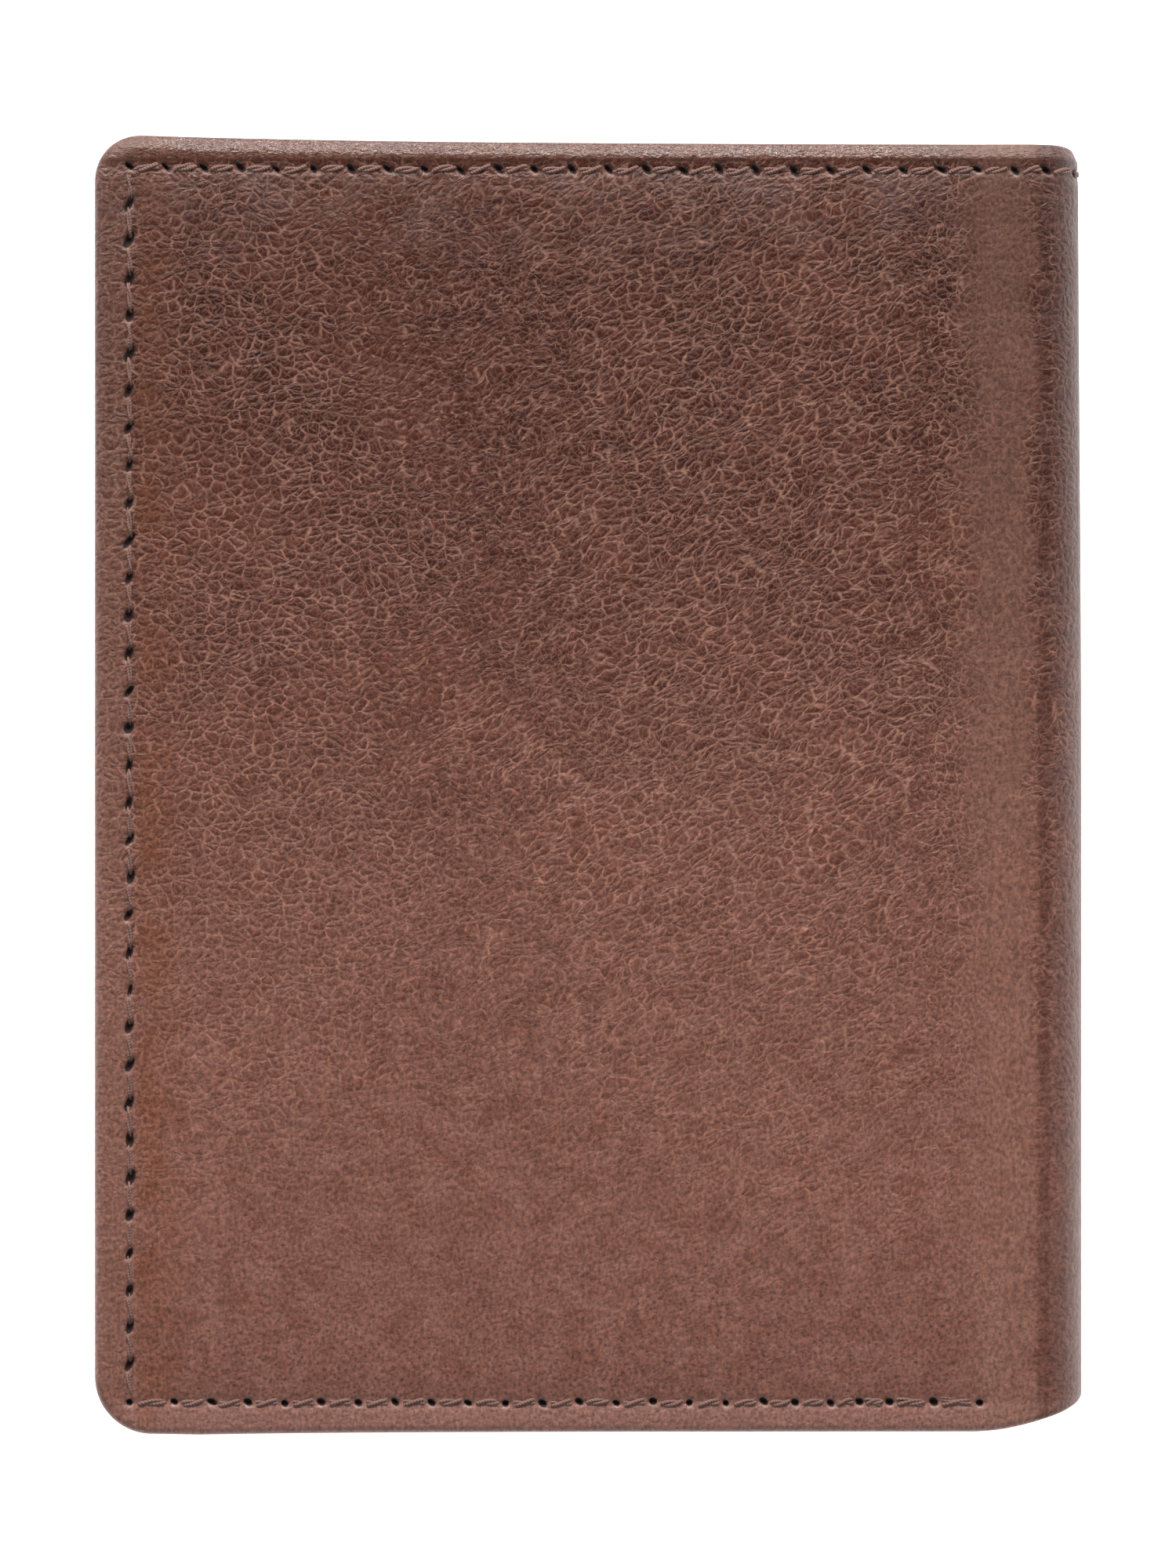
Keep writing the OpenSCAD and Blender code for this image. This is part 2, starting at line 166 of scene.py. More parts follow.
inner_seam_end = u_of(INNER, INNER.end - 6.5)
top_u = {
    "outer": np.concatenate([evenly(SIDE_SEAM_X, 36.3), [38.9], evenly(42.2, OUTER_FOLD_U)]),
    "middle_outer": evenly(OUTER_FOLD_U, U_ZERO),
    "middle_inner": evenly(U_ZERO, INNER_FOLD_U),
    "inner": evenly(INNER_FOLD_U, inner_seam_end),
}
bottom_u = {
    "outer": np.concatenate([[SIDE_SEAM_X], evenly(-35.2, 14.9), [17.7, 20.6, 23.1, 25.6, 29.3, 33.3]]),
    "middle_outer": evenly(64.4, U_ZERO),
    "middle_inner": evenly(U_ZERO, u_of(INNER, 33.0)),
    "inner": evenly(u_of(INNER, INNER.s4 + 5.5), inner_seam_end),
}
side_v = evenly(TOP_SEAM + 0.2, BOTTOM_SEAM, 3.2)


class Holes:
    """Needle holes: where they are, how each slit leans, and which way its raised lip lies."""

    def __init__(self):
        self.rows = []

    def add(self, u, v, lean, length, width, lip):
        for a, b in zip(*np.broadcast_arrays(u, v)):
            j = rng.normal(0, 1, 5)
            self.rows.append((a + 0.05 * j[0], b + 0.06 * j[1], lean + 0.14 * j[2],
                              length * (1 + 0.12 * j[3]), width * (1 + 0.14 * j[4]), lip[0], lip[1]))

    def fields(self, u, v):
        """How far inside the nearest hole each place is (0.5 at its rim), and how far on its lip."""
        pit, lip = np.zeros(u.shape), np.zeros(u.shape)
        for hu, hv, lean, length, width, lu, lv in self.rows:
            near = (np.abs(u - hu) < 2) & (np.abs(v - hv) < 2)
            if not near.any():
                continue
            du, dv = u[near] - hu, v[near] - hv
            along = du * math.cos(lean) + dv * math.sin(lean)
            across = -du * math.sin(lean) + dv * math.cos(lean)
            rho = np.hypot(along / length, across / width)
            pit[near] = np.maximum(pit[near], np.clip(1 - 0.5 * rho, 0, 1))
            du, dv = du - lu, dv - lv
            lip[near] = np.maximum(lip[near], np.exp(-(du / 0.26) ** 2 - (dv / 0.16) ** 2))
        return pit, lip


holes = {}
for part in top_u:
    h = holes[part] = Holes()
    lean = math.radians(-48 if part in ("outer", "inner") else 48)
    h.add(top_u[part], seam_top(top_u[part]), lean, 0.54, 0.24, (0.12, -0.42))
    h.add(bottom_u[part], BOTTOM_SEAM, math.radians(-40), 0.39, 0.28, (0.2, -0.42))
holes["outer"].add(SIDE_SEAM_X, side_v[1:-1], math.radians(68), 0.66, 0.3, (-0.06, -0.72))


def waves(u, v):
    """The slow unevenness of a hide, in mm."""
    return (0.06 * np.sin(u / 7.3 + v / 15.1) + 0.05 * np.sin(v / 6.1 - u / 19.0 + 1.3)
            + 0.035 * np.sin(u / 3.9 + 2.0 * np.sin(v / 11.0)) + 0.03 * np.sin(v / 3.1 + u / 5.2))


def settled_waves(u, v):
    """The unevenness that is left beside the outer fold, which is pulled smooth."""
    return waves(u, v) * smooth(np.abs(u - OUTER_FOLD_U), 6, 14)


def seam_depth(dist, run):
    """Depth of the pressed groove and the pull of the thread, at dist from the seam."""
    return GROOVE * np.exp(-(dist / 0.55) ** 2) * run


def leather_face(part, u, v):
    """Depth of the outer face under its nominal plane."""
    pit, lip = holes[part].fields(u, v)
    top = np.abs(v - seam_top(u))
    low, high = bottom_u[part].min() - 0.4, bottom_u[part].max() + 0.4
    bottom = np.abs(v - BOTTOM_SEAM)
    bottom_run = smooth(u, low - 0.5, low) * (1 - smooth(u, high, high + 0.5))
    depth = seam_depth(top, 1.0) + seam_depth(bottom, bottom_run)
    inside = np.minimum(seam_top(u) - v, np.where(bottom_run > 0.5, v - BOTTOM_SEAM, 4))
    if part == "outer":
        side = np.abs(u - SIDE_SEAM_X)
        side_run = smooth(v, BOTTOM_SEAM - 0.3, BOTTOM_SEAM) * (1 - smooth(v, TOP_SEAM, TOP_SEAM + 0.4))
        depth = np.maximum(depth, seam_depth(side, side_run))
        inside = np.minimum(inside, u - SIDE_SEAM_X)
        depth += 0.10 * np.exp(-((u - 38.5) / 0.45) ** 2) - 0.10 * np.exp(-((u - 36.2) / 1.6) ** 2)
    depth += 0.42 * smooth(pit, 0.3, 0.85) - 0.06 * lip
    if part in ("outer", "middle_outer"):
        depth -= 0.4 * np.exp(-((u - OUTER_FOLD_U) / 8.0) ** 2) * smooth(-v, -54, 0)
    depth -= 0.14 * smooth(inside, 0.2, 3.0) * (1 - np.exp(-((u - OUTER_FOLD_U) / 14.0) ** 2))
    return depth + settled_waves(u, v), pit, lip


# ---- outlines ----


def top_edge(fold, s):
    u = u_of(fold, s)
    edge = HALF_H - 0.77 + 0.95 * np.exp(-np.maximum(u - LEFT, 0) / 24.0)
    if fold.sign > 0:
        edge = edge - 0.65 * smooth(9 - np.abs(u - OUTER_FOLD_U), 0, 8)
    return edge


def bottom_edge(fold, s):
    u = u_of(fold, s)
    fold_u = OUTER_FOLD_U if fold.sign > 0 else INNER_FOLD_U
    reach = fold.middle - fold.s1
    past = reach - np.abs(u - fold_u)
    bump = 0.27 * np.exp(-np.abs(u + 33) / 14.0)
    return -HALF_H + 0.06 - bump + 3.3 * smooth(past + 5, 0, 16)


# ---- meshes ----


def lattice(ns, nv, k, fine):
    """Faces over a lattice whose coarse cells are split k by k where fine says so."""
    stride = nv * k + 1
    polys = []

    def open_side(a, b):
        return a < 0 or b < 0 or a >= ns or b >= nv or fine[a, b]

    for a in range(ns):
        for b in range(nv):
            i0, j0 = a * k, b * k
            if fine[a, b]:
                for i in range(i0, i0 + k):
                    for j in range(j0, j0 + k):
                        p = i * stride + j
                        polys.append((p, p + stride, p + stride + 1, p + 1))
                continue
            ring = [i * stride + j0 for i in (range(i0, i0 + k) if open_side(a, b - 1) else (i0,))]
            ring += [(i0 + k) * stride + j for j in (range(j0, j0 + k) if open_side(a + 1, b) else (j0,))]
            ring += [i * stride + j0 + k
                     for i in (range(i0 + k, i0, -1) if open_side(a, b + 1) else (i0 + k,))]
            ring += [i0 * stride + j for j in (range(j0 + k, j0, -1) if open_side(a - 1, b) else (j0 + k,))]
            polys.append(tuple(ring))
    return polys


def split(breaks, k, roll_low, roll_high):
    """The fine lines between coarse breaks. Beside a rolled edge they crowd towards it."""
    out = [breaks[0]]
    steps = np.arange(1, k + 1) / k
    for i in range(len(breaks) - 1):
        a, b = breaks[i], breaks[i + 1]
        t = steps
        if i == 0 and roll_low:
            t = 1 - np.cos(steps * math.pi / 2)
        if i == len(breaks) - 2 and roll_high:
            t = np.sin(steps * math.pi / 2)
        out.extend(a + (b - a) * t)
    return np.array(out)


def round_corner(a, b, r):
    """Moves places at a and b from two edges so that the corner between those is rounded."""
    d = np.minimum(a, b)
    rho = np.maximum(r - d, 1e-9)
    here = (a < r) & (b < r)
    q = np.clip((b - a) / rho, -1, 1)
    angle = math.pi / 4 * (1 - q)
    return np.where(here, r - rho * np.cos(angle), a), np.where(here, r - rho * np.sin(angle), b)


def new_object(name, verts, faces, material, smooth_faces=None, attributes=None):
    mesh = bpy.data.meshes.new(name)
    mesh.from_pydata((np.asarray(verts) * MM).tolist(), [], faces)
    flags = np.ones(len(faces), bool) if smooth_faces is None else smooth_faces
    mesh.polygons.foreach_set("use_smooth", flags)
    for key, data in (attributes or {}).items():
        kind, field = ("FLOAT_VECTOR", "vector") if data.ndim == 2 else ("FLOAT", "value")
        mesh.attributes.new(key, kind, "POINT").data.foreach_set(field, data.astype(np.float32).ravel())
    mesh.update()
    ob = bpy.data.objects.new(name, mesh)
    bpy.context.scene.collection.objects.link(ob)
    mesh.materials.append(material)
    return ob


def shell(name, s_breaks, v_breaks, faces_at, place, material, flat, rolled="lrbt", corners=None, k=1,
          fine=None, shift=None, roll=0.3, flat_bottom=1.0, round_top=1.0):
    """A closed sheet. faces_at gives the depths of its two faces, which meet in a round at rolled edges."""
    corners = corners or {}
    ns, nv = len(s_breaks) - 1, len(v_breaks) - 1
    s = split(s_breaks, k, "l" in rolled, "r" in rolled)
    v = split(v_breaks, k, "b" in rolled, "t" in rolled)
    S, V = np.meshgrid(s, v, indexing="ij")
    far = 1e3
    dl = S - s[0] if "l" in rolled else np.full(S.shape, far)
    dr = s[-1] - S if "r" in rolled else np.full(S.shape, far)
    db = V - v[0] if "b" in rolled else np.full(S.shape, far)
    dt = v[-1] - V if "t" in rolled else np.full(S.shape, far)
    d = np.minimum(np.minimum(dl, dr), np.minimum(db * flat_bottom, dt * round_top))
    for key, r in corners.items():
        a = S - s[0] if key[0] == "l" else s[-1] - S
        b = V - v[0] if key[1] == "b" else v[-1] - V
        a, b = round_corner(a, b, r)
        S = s[0] + a if key[0] == "l" else s[-1] - a
        V = v[0] + b if key[1] == "b" else v[-1] - b
    if shift is not None:
        V = shift(S, V)
    n_out, n_in, extra = faces_at(S, V)
    f = np.sqrt(1 - (1 - np.clip(d / roll, 0, 1)) ** 2)
    mid, half = (n_out + n_in) / 2, (n_in - n_out) / 2
    N_out, N_in = mid - half * f, mid + half * f
    if fine is None:
        fine = np.zeros((ns, nv), bool)
    ring = np.zeros((ns, nv), bool)
    ring[0, :] |= "l" in rolled
    ring[-1, :] |= "r" in rolled
    ring[:, 0] |= "b" in rolled
    ring[:, -1] |= "t" in rolled
    if k == 1:
        fine_out = fine_in = np.ones((ns, nv), bool)
    else:
        fine_out, fine_in = fine | ring, ring
    faces_out = lattice(ns, nv, k, fine_out)
    faces_in = lattice(ns, nv, k, fine_in)
    rows, cols = S.shape
    shared = (d <= 1e-9).ravel()
    used_out = np.zeros(rows * cols, bool)
    used_out[np.fromiter((p for f_ in faces_out for p in f_), int)] = True
    used_in = np.zeros(rows * cols, bool)
    used_in[np.fromiter((p for f_ in faces_in for p in f_), int)] = True
    index_out = np.cumsum(used_out) - 1
    count = int(used_out.sum())
    own_in = used_in & ~shared
    index_in = np.where(shared, index_out, count + np.cumsum(own_in) - 1)
    P_out = place(S, V, N_out).reshape(-1, 3)
    P_in = place(S, V, N_in).reshape(-1, 3)
    verts = np.concatenate([P_out[used_out], P_in[own_in]])
    faces = [tuple(int(index_out[p]) for p in f_) for f_ in faces_out]
    faces += [tuple(int(index_in[p]) for p in reversed(f_)) for f_ in faces_in]
    smooth_count = len(faces)
    edges = [[i * cols for i in range(rows)], [(rows - 1) * cols + j for j in range(cols)],
             [i * cols + cols - 1 for i in range(rows - 1, -1, -1)], list(range(cols - 1, -1, -1))]
    for side in edges:
        for p, q in zip(side, side[1:]):
            if shared[p] and shared[q]:
                continue
            quad = [int(index_out[q]), int(index_out[p]), int(index_in[p]), int(index_in[q])]
            quad = [x for i, x in enumerate(quad) if x not in quad[:i]]
            if len(quad) > 2:
                faces.append(tuple(quad))
    # The placing of a fold turns the sheet over on one side of the wallet
    centre = S[rows // 2, cols // 2]
    probe = place(np.array([centre, centre + 0.1, centre]), np.array([0.0, 0.0, 0.1]), np.zeros(3))
    deep = place(centre, 0.0, 1.0) - probe[0]
    if np.dot(np.cross(probe[1] - probe[0], probe[2] - probe[0]), deep) > 0:
        faces = [tuple(reversed(f_)) for f_ in faces]
    FLAT = flat(S, V).reshape(-1, 2)
    flat_out = np.column_stack([FLAT, N_out.ravel()])[used_out]
    flat_in = np.column_stack([FLAT, N_in.ravel() + 3])[own_in]
    attributes = {"flat": np.concatenate([flat_out, flat_in])}
    for key, data in (extra or {}).items():
        # Needle holes show on the outer face only, a pocket's marks on both
        inner = np.zeros(int(own_in.sum())) if key in ("pit", "lip") else data.ravel()[own_in]
        attributes[key] = np.concatenate([data.ravel()[used_out], inner])
    flags = np.ones(len(faces), bool)
    flags[smooth_count:] = False
    return new_object(name, verts, faces, material, flags, attributes)


def cells(start, end, step, first=None, last=None):
    """Coarse breaks from start to end, with a first and last cell of their own width."""
    low = start + (first or 0)
    high = end - (last or 0)
    middle = np.linspace(low, high, max(2, round((high - low) / step) + 1))
    head = [start] if first else []
    tail = [end] if last else []
    return np.concatenate([head, middle, tail])


class Tubes:
    """Twisted thread: every stitch is two strands laid round each other."""

    def __init__(self, sides=6, steps=11):
        self.sides, self.steps = sides, steps
        self.verts, self.faces, self.along = [], [], []
        self.count = 0

    def strand(self, centre, side, up, phase, turns, radius, offset, flatten):
        m = len(centre)
        t = np.linspace(0, 1, m)
        theta = phase + 2 * math.pi * turns * t
        line = centre + offset * (np.cos(theta)[:, None] * side + flatten * np.sin(theta)[:, None] * up)
        ang = np.arange(self.sides) / self.sides * 2 * math.pi
        taper = np.where((t == 0) | (t == 1), 0.55, 1.0)
        around = (np.cos(ang)[None, :, None] * side[:, None, :]
                  + 0.85 * np.sin(ang)[None, :, None] * up[:, None, :])
        ring = line[:, None, :] + radius * taper[:, None, None] * around
        base = self.count
        self.verts.append(ring.reshape(-1, 3))
        self.along.append(np.column_stack([
            np.repeat(t * 3.1 + phase, self.sides), np.tile(ang, m),
            np.full(m * self.sides, self.count * 0.013)]))
        n = self.sides
        for i in range(m - 1):
            here, there = base + i * n, base + (i + 1) * n
            for j in range(n):
                k2 = (j + 1) % n
                self.faces.append((there + j, there + k2, here + k2, here + j))
        self.faces.append(tuple(base + j for j in range(n)))
        self.faces.append(tuple(base + (m - 1) * n + j for j in range(n - 1, -1, -1)))
        self.count += m * n

    def stitch(self, place, a, b, n, dive=0.42, width=0.17, sign=1, bow=0.0):
        """From hole a to hole b, each (s, v), with its middle n deep and its ends sunk by dive."""
        t = np.linspace(0, 1, self.steps)
        lift = smooth(t, 0.0, 0.2) * (1 - smooth(t, 0.8, 1.0))
        s = a[0] + (b[0] - a[0]) * t
        v = a[1] + (b[1] - a[1]) * t + bow * np.sin(math.pi * t)
        depth = n(s, v) if callable(n) else np.full(t.shape, n)
        depth = depth + sign * dive * (1 - lift)
        centre = place(s, v, depth)
        up = place(s, v, depth - sign * 0.5) - centre
        up /= np.linalg.norm(up, axis=1)[:, None]
        tangent = np.gradient(centre, axis=0)
        tangent /= np.linalg.norm(tangent, axis=1)[:, None]
        side = np.cross(tangent, up)
        side /= np.linalg.norm(side, axis=1)[:, None]
        phase = rng.uniform(0, 2 * math.pi)
        for extra in (0.0, math.pi):
            self.strand(centre, side, up, phase + extra, 0.7, width, 0.9 * width, 0.45)

    def build(self, name, material):
        return new_object(name, np.concatenate(self.verts), self.faces, material,
                          attributes={"flat": np.concatenate(self.along)})


# ---- materials ----

# Colours of the outer hide
COLOURS = {
    "cell_dark": (0.046, 0.009, 0.005), "cell_red": (0.09, 0.019, 0.01), "cell_warm": (0.13, 0.036, 0.019),
    "cell_grey": (0.085, 0.028, 0.02), "low_a": (0.172, 0.067, 0.048), "low_b": (0.215, 0.093, 0.071),
    "crease": (0.3, 0.145, 0.105), "pore": (0.09, 0.045, 0.04), "worn": (0.245, 0.122, 0.09),
    "roll": (0.115, 0.055, 0.046), "rust": (0.17, 0.055, 0.024), "margin": (0.21, 0.1, 0.075),
    "edge": (0.235, 0.13, 0.112), "low_margin": (0.275, 0.14, 0.115), "lip": (0.3, 0.16, 0.12),
    "sheen": (0.19, 0.11, 0.1), "hole": (0.016, 0.005, 0.004),
}


class Shader:
    """A small builder of node materials."""

    def __init__(self, name):
        self.mat = bpy.data.materials.new(name)
        self.mat.use_nodes = True
        self.tree = self.mat.node_tree
        self.bsdf = self.tree.nodes["Principled BSDF"]

    def put(self, socket, value):
        if isinstance(value, bpy.types.NodeSocket):
            self.tree.links.new(value, socket)
        elif isinstance(value, tuple) and len(value) < len(socket.default_value):
            socket.default_value = (*value, 1.0)
        elif value is not None:
            socket.default_value = value

    def node(self, kind, values=(), **settings):
        """A new node. values gives its inputs, by name or number, as sockets or constants."""
        made = self.tree.nodes.new(kind)
        for key, value in settings.items():
            setattr(made, key, value)
        for key, value in dict(values).items():
            self.put(made.inputs[key], value)
        return made

    def math(self, op, a, b=None, clamp=False):
        return self.node("ShaderNodeMath", {0: a, 1: b}, operation=op, use_clamp=clamp).outputs[0]

    def times(self, a, b):
        return self.math("MULTIPLY", a, b)

    def plus(self, a, b):
        return self.math("ADD", a, b)

    def minus(self, a, b):
        return self.math("SUBTRACT", a, b)

    def ragged(self, value, noise, amount):
        """A value that a noise shifts by up to half of amount either way."""
        return self.plus(value, self.times(self.minus(noise, 0.5), amount))

    def step(self, value, low, high, out_low=0.0, out_high=1.0):
        values = enumerate((value, low, high, out_low, out_high))
        return self.node("ShaderNodeMapRange", values, interpolation_type="SMOOTHSTEP").outputs[0]

    def mix(self, factor, a, b, kind="MIX"):
        values = {0: factor, 6: a, 7: b}
        return self.node("ShaderNodeMix", values, data_type="RGBA", blend_type=kind).outputs[2]

    def over(self, colour, name, mask, share):
        """A named colour laid over another, as strongly as share where the mask is full."""
        return self.mix(self.times(mask, share), colour, COLOURS[name])

    def blend(self, factor, a, b):
        return self.node("ShaderNodeMix", {0: factor, 2: a, 3: b}, data_type="FLOAT").outputs[0]

    def attribute(self, name):
        return self.node("ShaderNodeAttribute", attribute_name=name).outputs["Fac"]

    def flat(self):
        """Where a place lies on its flattened sheet, and how deep, in mm."""
        return self.node("ShaderNodeAttribute", attribute_name="flat").outputs["Vector"]

    def split(self, vec):
        return self.node("ShaderNodeSeparateXYZ", {0: vec}).outputs

    def vector(self, op, a, b=None, scale=None):
        return self.node("ShaderNodeVectorMath", {0: a, 1: b, 3: scale}, operation=op).outputs[0]

    def mapped(self, vec, angle, scale):
        values = {0: vec, 2: (0, 0, math.radians(angle)), 3: scale}
        return self.node("ShaderNodeMapping", values, vector_type="TEXTURE").outputs[0]

    def noise(self, vec, scale, detail=2.0, rough=0.5, colour=False):
        values = {"Vector": vec, "Scale": scale, "Detail": detail, "Roughness": rough}
        return self.node("ShaderNodeTexNoise", values).outputs[1 if colour else 0]

    def cells(self, vec, feature="DISTANCE_TO_EDGE"):
        values = {"Vector": vec, "Scale": 1.0}
        return self.node("ShaderNodeTexVoronoi", values, feature=feature,
                         voronoi_dimensions="2D").outputs["Distance"]

    def bump(self, height, strength, distance):
        values = {"Strength": strength, "Distance": distance, "Height": height}
        return self.node("ShaderNodeBump", values).outputs[0]

    def finish(self, colour, roughness, normal=None, **fixed):
        self.put(self.bsdf.inputs["Base Color"], colour)
        self.put(self.bsdf.inputs["Roughness"], roughness)
        self.put(self.bsdf.inputs["Normal"], normal)
        for key, value in fixed.items():
            self.put(self.bsdf.inputs[key.replace("_", " ")], value)
        return self.mat


def hide_leather():
    """The outer hide: creased cells that flatten into fine pores towards the bottom edge."""
    m = Shader("Outer leather")
    flat = m.flat()
    u, v = m.split(flat)[:2]
    pit = m.attribute("pit")
    lip = m.attribute("lip")

    # Uneven stretch of the hide
    slow = m.noise(flat, 0.16, 2.0, 0.5, colour=True)
    fast = m.noise(flat, 0.75, 2.0, 0.55, colour=True)
    warp = m.vector("ADD", m.vector("SCALE", m.vector("SUBTRACT", slow, (0.5, 0.5, 0.5)), scale=2.4),
                    m.vector("SCALE", m.vector("SUBTRACT", fast, (0.5, 0.5, 0.5)), scale=0.9))
    p = m.vector("ADD", flat, warp)
    patch = m.noise(flat, 0.075, 3.0, 0.6)
    patch2 = m.noise(m.vector("ADD", flat, (31.0, 17.0, 0.0)), 0.2, 3.0, 0.6)

    # Creases: across at the free edge, slanting over the middle, even pebbles beside the fold
    across = m.cells(m.mapped(p, 4, (1.15, 0.76, 1.6)))
    slanted = m.cells(m.mapped(p, 28, (1.4, 0.7, 1.6)))
    pebbles = m.cells(m.mapped(p, 0, (0.85, 0.82, 1.6)))
    long_lines = m.cells(m.mapped(m.vector("ADD", p, (9.0, 3.0, 0.0)), 35, (7.5, 1.7, 3.0)))
    small = m.cells(m.mapped(m.vector("ADD", p, (5.0, 40.0, 0.0)), 18, (0.55, 0.42, 0.8)))
    to_slant = m.step(m.ragged(u, patch, 60.0), -22.0, 2.0)
    fold_dist = m.math("ABSOLUTE", m.minus(u, OUTER_FOLD_U))
    inner_dist = m.plus(m.math("ABSOLUTE", m.minus(u, INNER_FOLD_U)), 7.0)
    fold = m.math("MINIMUM", fold_dist, inner_dist)
    ragged = m.ragged(fold, patch2, 6.0)
    to_pebble = m.step(ragged, 22.5, 18.5)
    main = m.blend(to_pebble, m.blend(to_slant, across, slanted), pebbles)
    presence = m.step(m.noise(flat, 0.55, 2.0), 0.34, 0.6, 0.45, 1.0)
    width = m.step(m.noise(flat, 0.9, 1.0), 0.3, 0.7, 0.1, 0.2)
    line_main = m.times(m.step(main, 0.0, width, 1.0, 0.0), presence)
    line_small = m.times(m.step(small, 0.0, 0.12, 1.0, 0.0), m.step(patch, 0.62, 0.38, 0.3, 0.55))
    line_long = m.times(m.step(long_lines, 0.0, 0.045, 1.0, 0.0),
                       m.times(to_slant, m.step(m.noise(flat, 0.3, 1.0), 0.4, 0.58, 0.1, 1.0)))
    # The grain fades into pores at the bottom, and is worn smooth over the fold
    ragged_v = m.ragged(v, patch, 30.0)
    grain = m.step(ragged_v, -72.0, 14.0, 0.3, 1.0)
    worn = m.times(m.step(ragged, 9.8, 12.0), m.step(ragged, 18.6, 14.0))
    grain = m.times(grain, m.blend(worn, 1.0, 0.4))
    # The turned hem is pressed smoother
    grain = m.times(grain, m.step(v, 52.6, 53.2, 1.0, 0.45))
    lines = m.times(m.math("MAXIMUM", m.math("MAXIMUM", line_main, line_small), line_long), grain)
    lines = m.times(lines, m.step(ragged_v, -54.0, -24.0, 0.35, 1.0))
    pores_mask = m.step(ragged_v, -32.0, -50.0)
    pore_cells = m.cells(m.mapped(flat, 20, (0.62, 0.52, 0.8)), "F1")
    pores = m.times(m.step(pore_cells, 0.1, 0.32, 1.0, 0.0), pores_mask)

    # Colour
    fine = m.noise(m.mapped(flat, 0, (0.28, 0.45, 0.5)), 1.0, 3.0, 0.65)
    mottle = m.noise(p, 0.42, 3.0, 0.6)
    cell = m.mix(m.step(mottle, 0.3, 0.7), COLOURS["cell_dark"], COLOURS["cell_red"])
    cell = m.mix(m.step(patch, 0.4, 0.72, 0.0, 0.75), cell, COLOURS["cell_warm"])
    cell = m.mix(m.step(patch2, 0.58, 0.74, 0.0, 0.55), cell, COLOURS["cell_grey"])
    # Lower down the cells blend into the lighter colour of the smoother hide, which also carries a painted
    # sheen
    smooth_hide_and_sheen_colour = m.mix(m.step(mottle, 0.3, 0.7), COLOURS["low_a"], COLOURS["low_b"])
    cell = m.mix(m.step(v, 40.0, -50.0), cell, smooth_hide_and_sheen_colour)
    colour = m.mix(lines, cell, COLOURS["crease"])
    colour = m.over(colour, "pore", pores, 0.6)
    # A painted greyer sheen where the hide dips to the hem seam
    sheen = m.times(m.step(v, 43.0, 49.5), m.step(v, 52.2, 51.4))
    colour = m.over(colour, "sheen", sheen, m.step(patch2, 0.4, 0.65, 0.0, 0.3))
    hem = m.step(v, 52.9, 53.3)
    # Painted light: the margin below the bottom seam, which slopes away from the lamps, is coloured lighter
    low_margin = m.step(v, -51.9, -52.9)
    colour = m.over(colour, "low_margin", low_margin, 0.6)
    colour = m.over(colour, "margin", hem, 0.5)
    # Worn band beside the fold; over the fold's roll a cooler, darker colour as painted shade and sheen, and
    # a painted shade line in the crease where the bend starts
    colour = m.over(colour, "worn", worn, 0.5)
    roll = m.step(ragged, 10.6, 8.6)
    colour = m.over(colour, "roll", roll, 0.6)
    bend_crease_shade = m.times(m.step(fold, 9.4, 9.9), m.step(fold, 10.9, 10.3))
    colour = m.over(colour, "cell_dark", bend_crease_shade, m.step(patch2, 0.35, 0.6, 0.15, 0.5))
    # Warm edge dye inside the side seam, and lighter margins
    rust_end = m.step(m.plus(u, m.times(mottle, 3.0)), -31.5, -36.5)
    rust = m.times(m.step(u, -38.6, -37.9), rust_end)
    colour = m.over(colour, "rust", rust, m.step(patch2, 0.35, 0.6, 0.1, 0.55))
    margin = m.step(u, -38.9, -39.6)
    colour = m.over(colour, "margin", margin, 0.45)
    edge = m.step(u, -41.0, -41.7)
    colour = m.over(colour, "edge", edge, 0.4)
    speckle = m.mix(m.step(fine, 0.25, 0.75), (0.12, 0.12, 0.12), (0.88, 0.88, 0.88))
    colour = m.mix(0.55, colour, speckle, "OVERLAY")
    # Painted shade: the hide is darkened towards the top
    colour = m.mix(m.step(v, -25.0, 56.0, 0.0, 0.34), colour, (0.0, 0.0, 0.0))
    # The lip below each hole is coloured lighter: the raw leather of its burr, and a painted highlight on it
    colour = m.over(colour, "lip", lip, 0.6)
    # Painted shade: the needle holes are coloured near black
    hole = m.step(pit, 0.4, 0.56)
    colour = m.mix(hole, colour, COLOURS["hole"])

    # Relief and gloss
    height = m.minus(m.step(main, 0.0, 0.45), m.times(line_long, 0.3))
    height = m.plus(height, m.times(m.step(small, 0.0, 0.4), 0.45))
    height = m.times(height, grain)
    height = m.plus(height, m.times(fine, 0.5))
    height = m.minus(height, m.times(pores, 0.35))
    specks = m.noise(m.mapped(flat, 0, (0.6, 0.3, 0.5)), 1.0, 2.0, 0.7)
    height = m.plus(height, m.times(m.times(hem, specks), 2.6))
    normal = m.bump(height, 0.42, 0.00011)
    rough = m.plus(m.step(mottle, 0.2, 0.8, 0.36, 0.5), m.times(lines, 0.1))
    # The hem is polished in patches, between the side seam and the fold
    polished = m.times(m.step(v, 52.9, 53.4),
                      m.step(m.noise(flat, 3.4, 3.0, 0.7), 0.42, 0.56, 0.1, 1.0))
    polished = m.times(polished,
                      m.times(m.step(u, 34.0, 26.0), m.step(u, -40.0, -36.0)))
    rough = m.minus(rough, m.times(polished, 0.28))
    rough = m.math("ADD", rough, m.times(hole, 0.4), clamp=True)
    return m.finish(colour, rough, normal, Specular_IOR_Level=0.42)


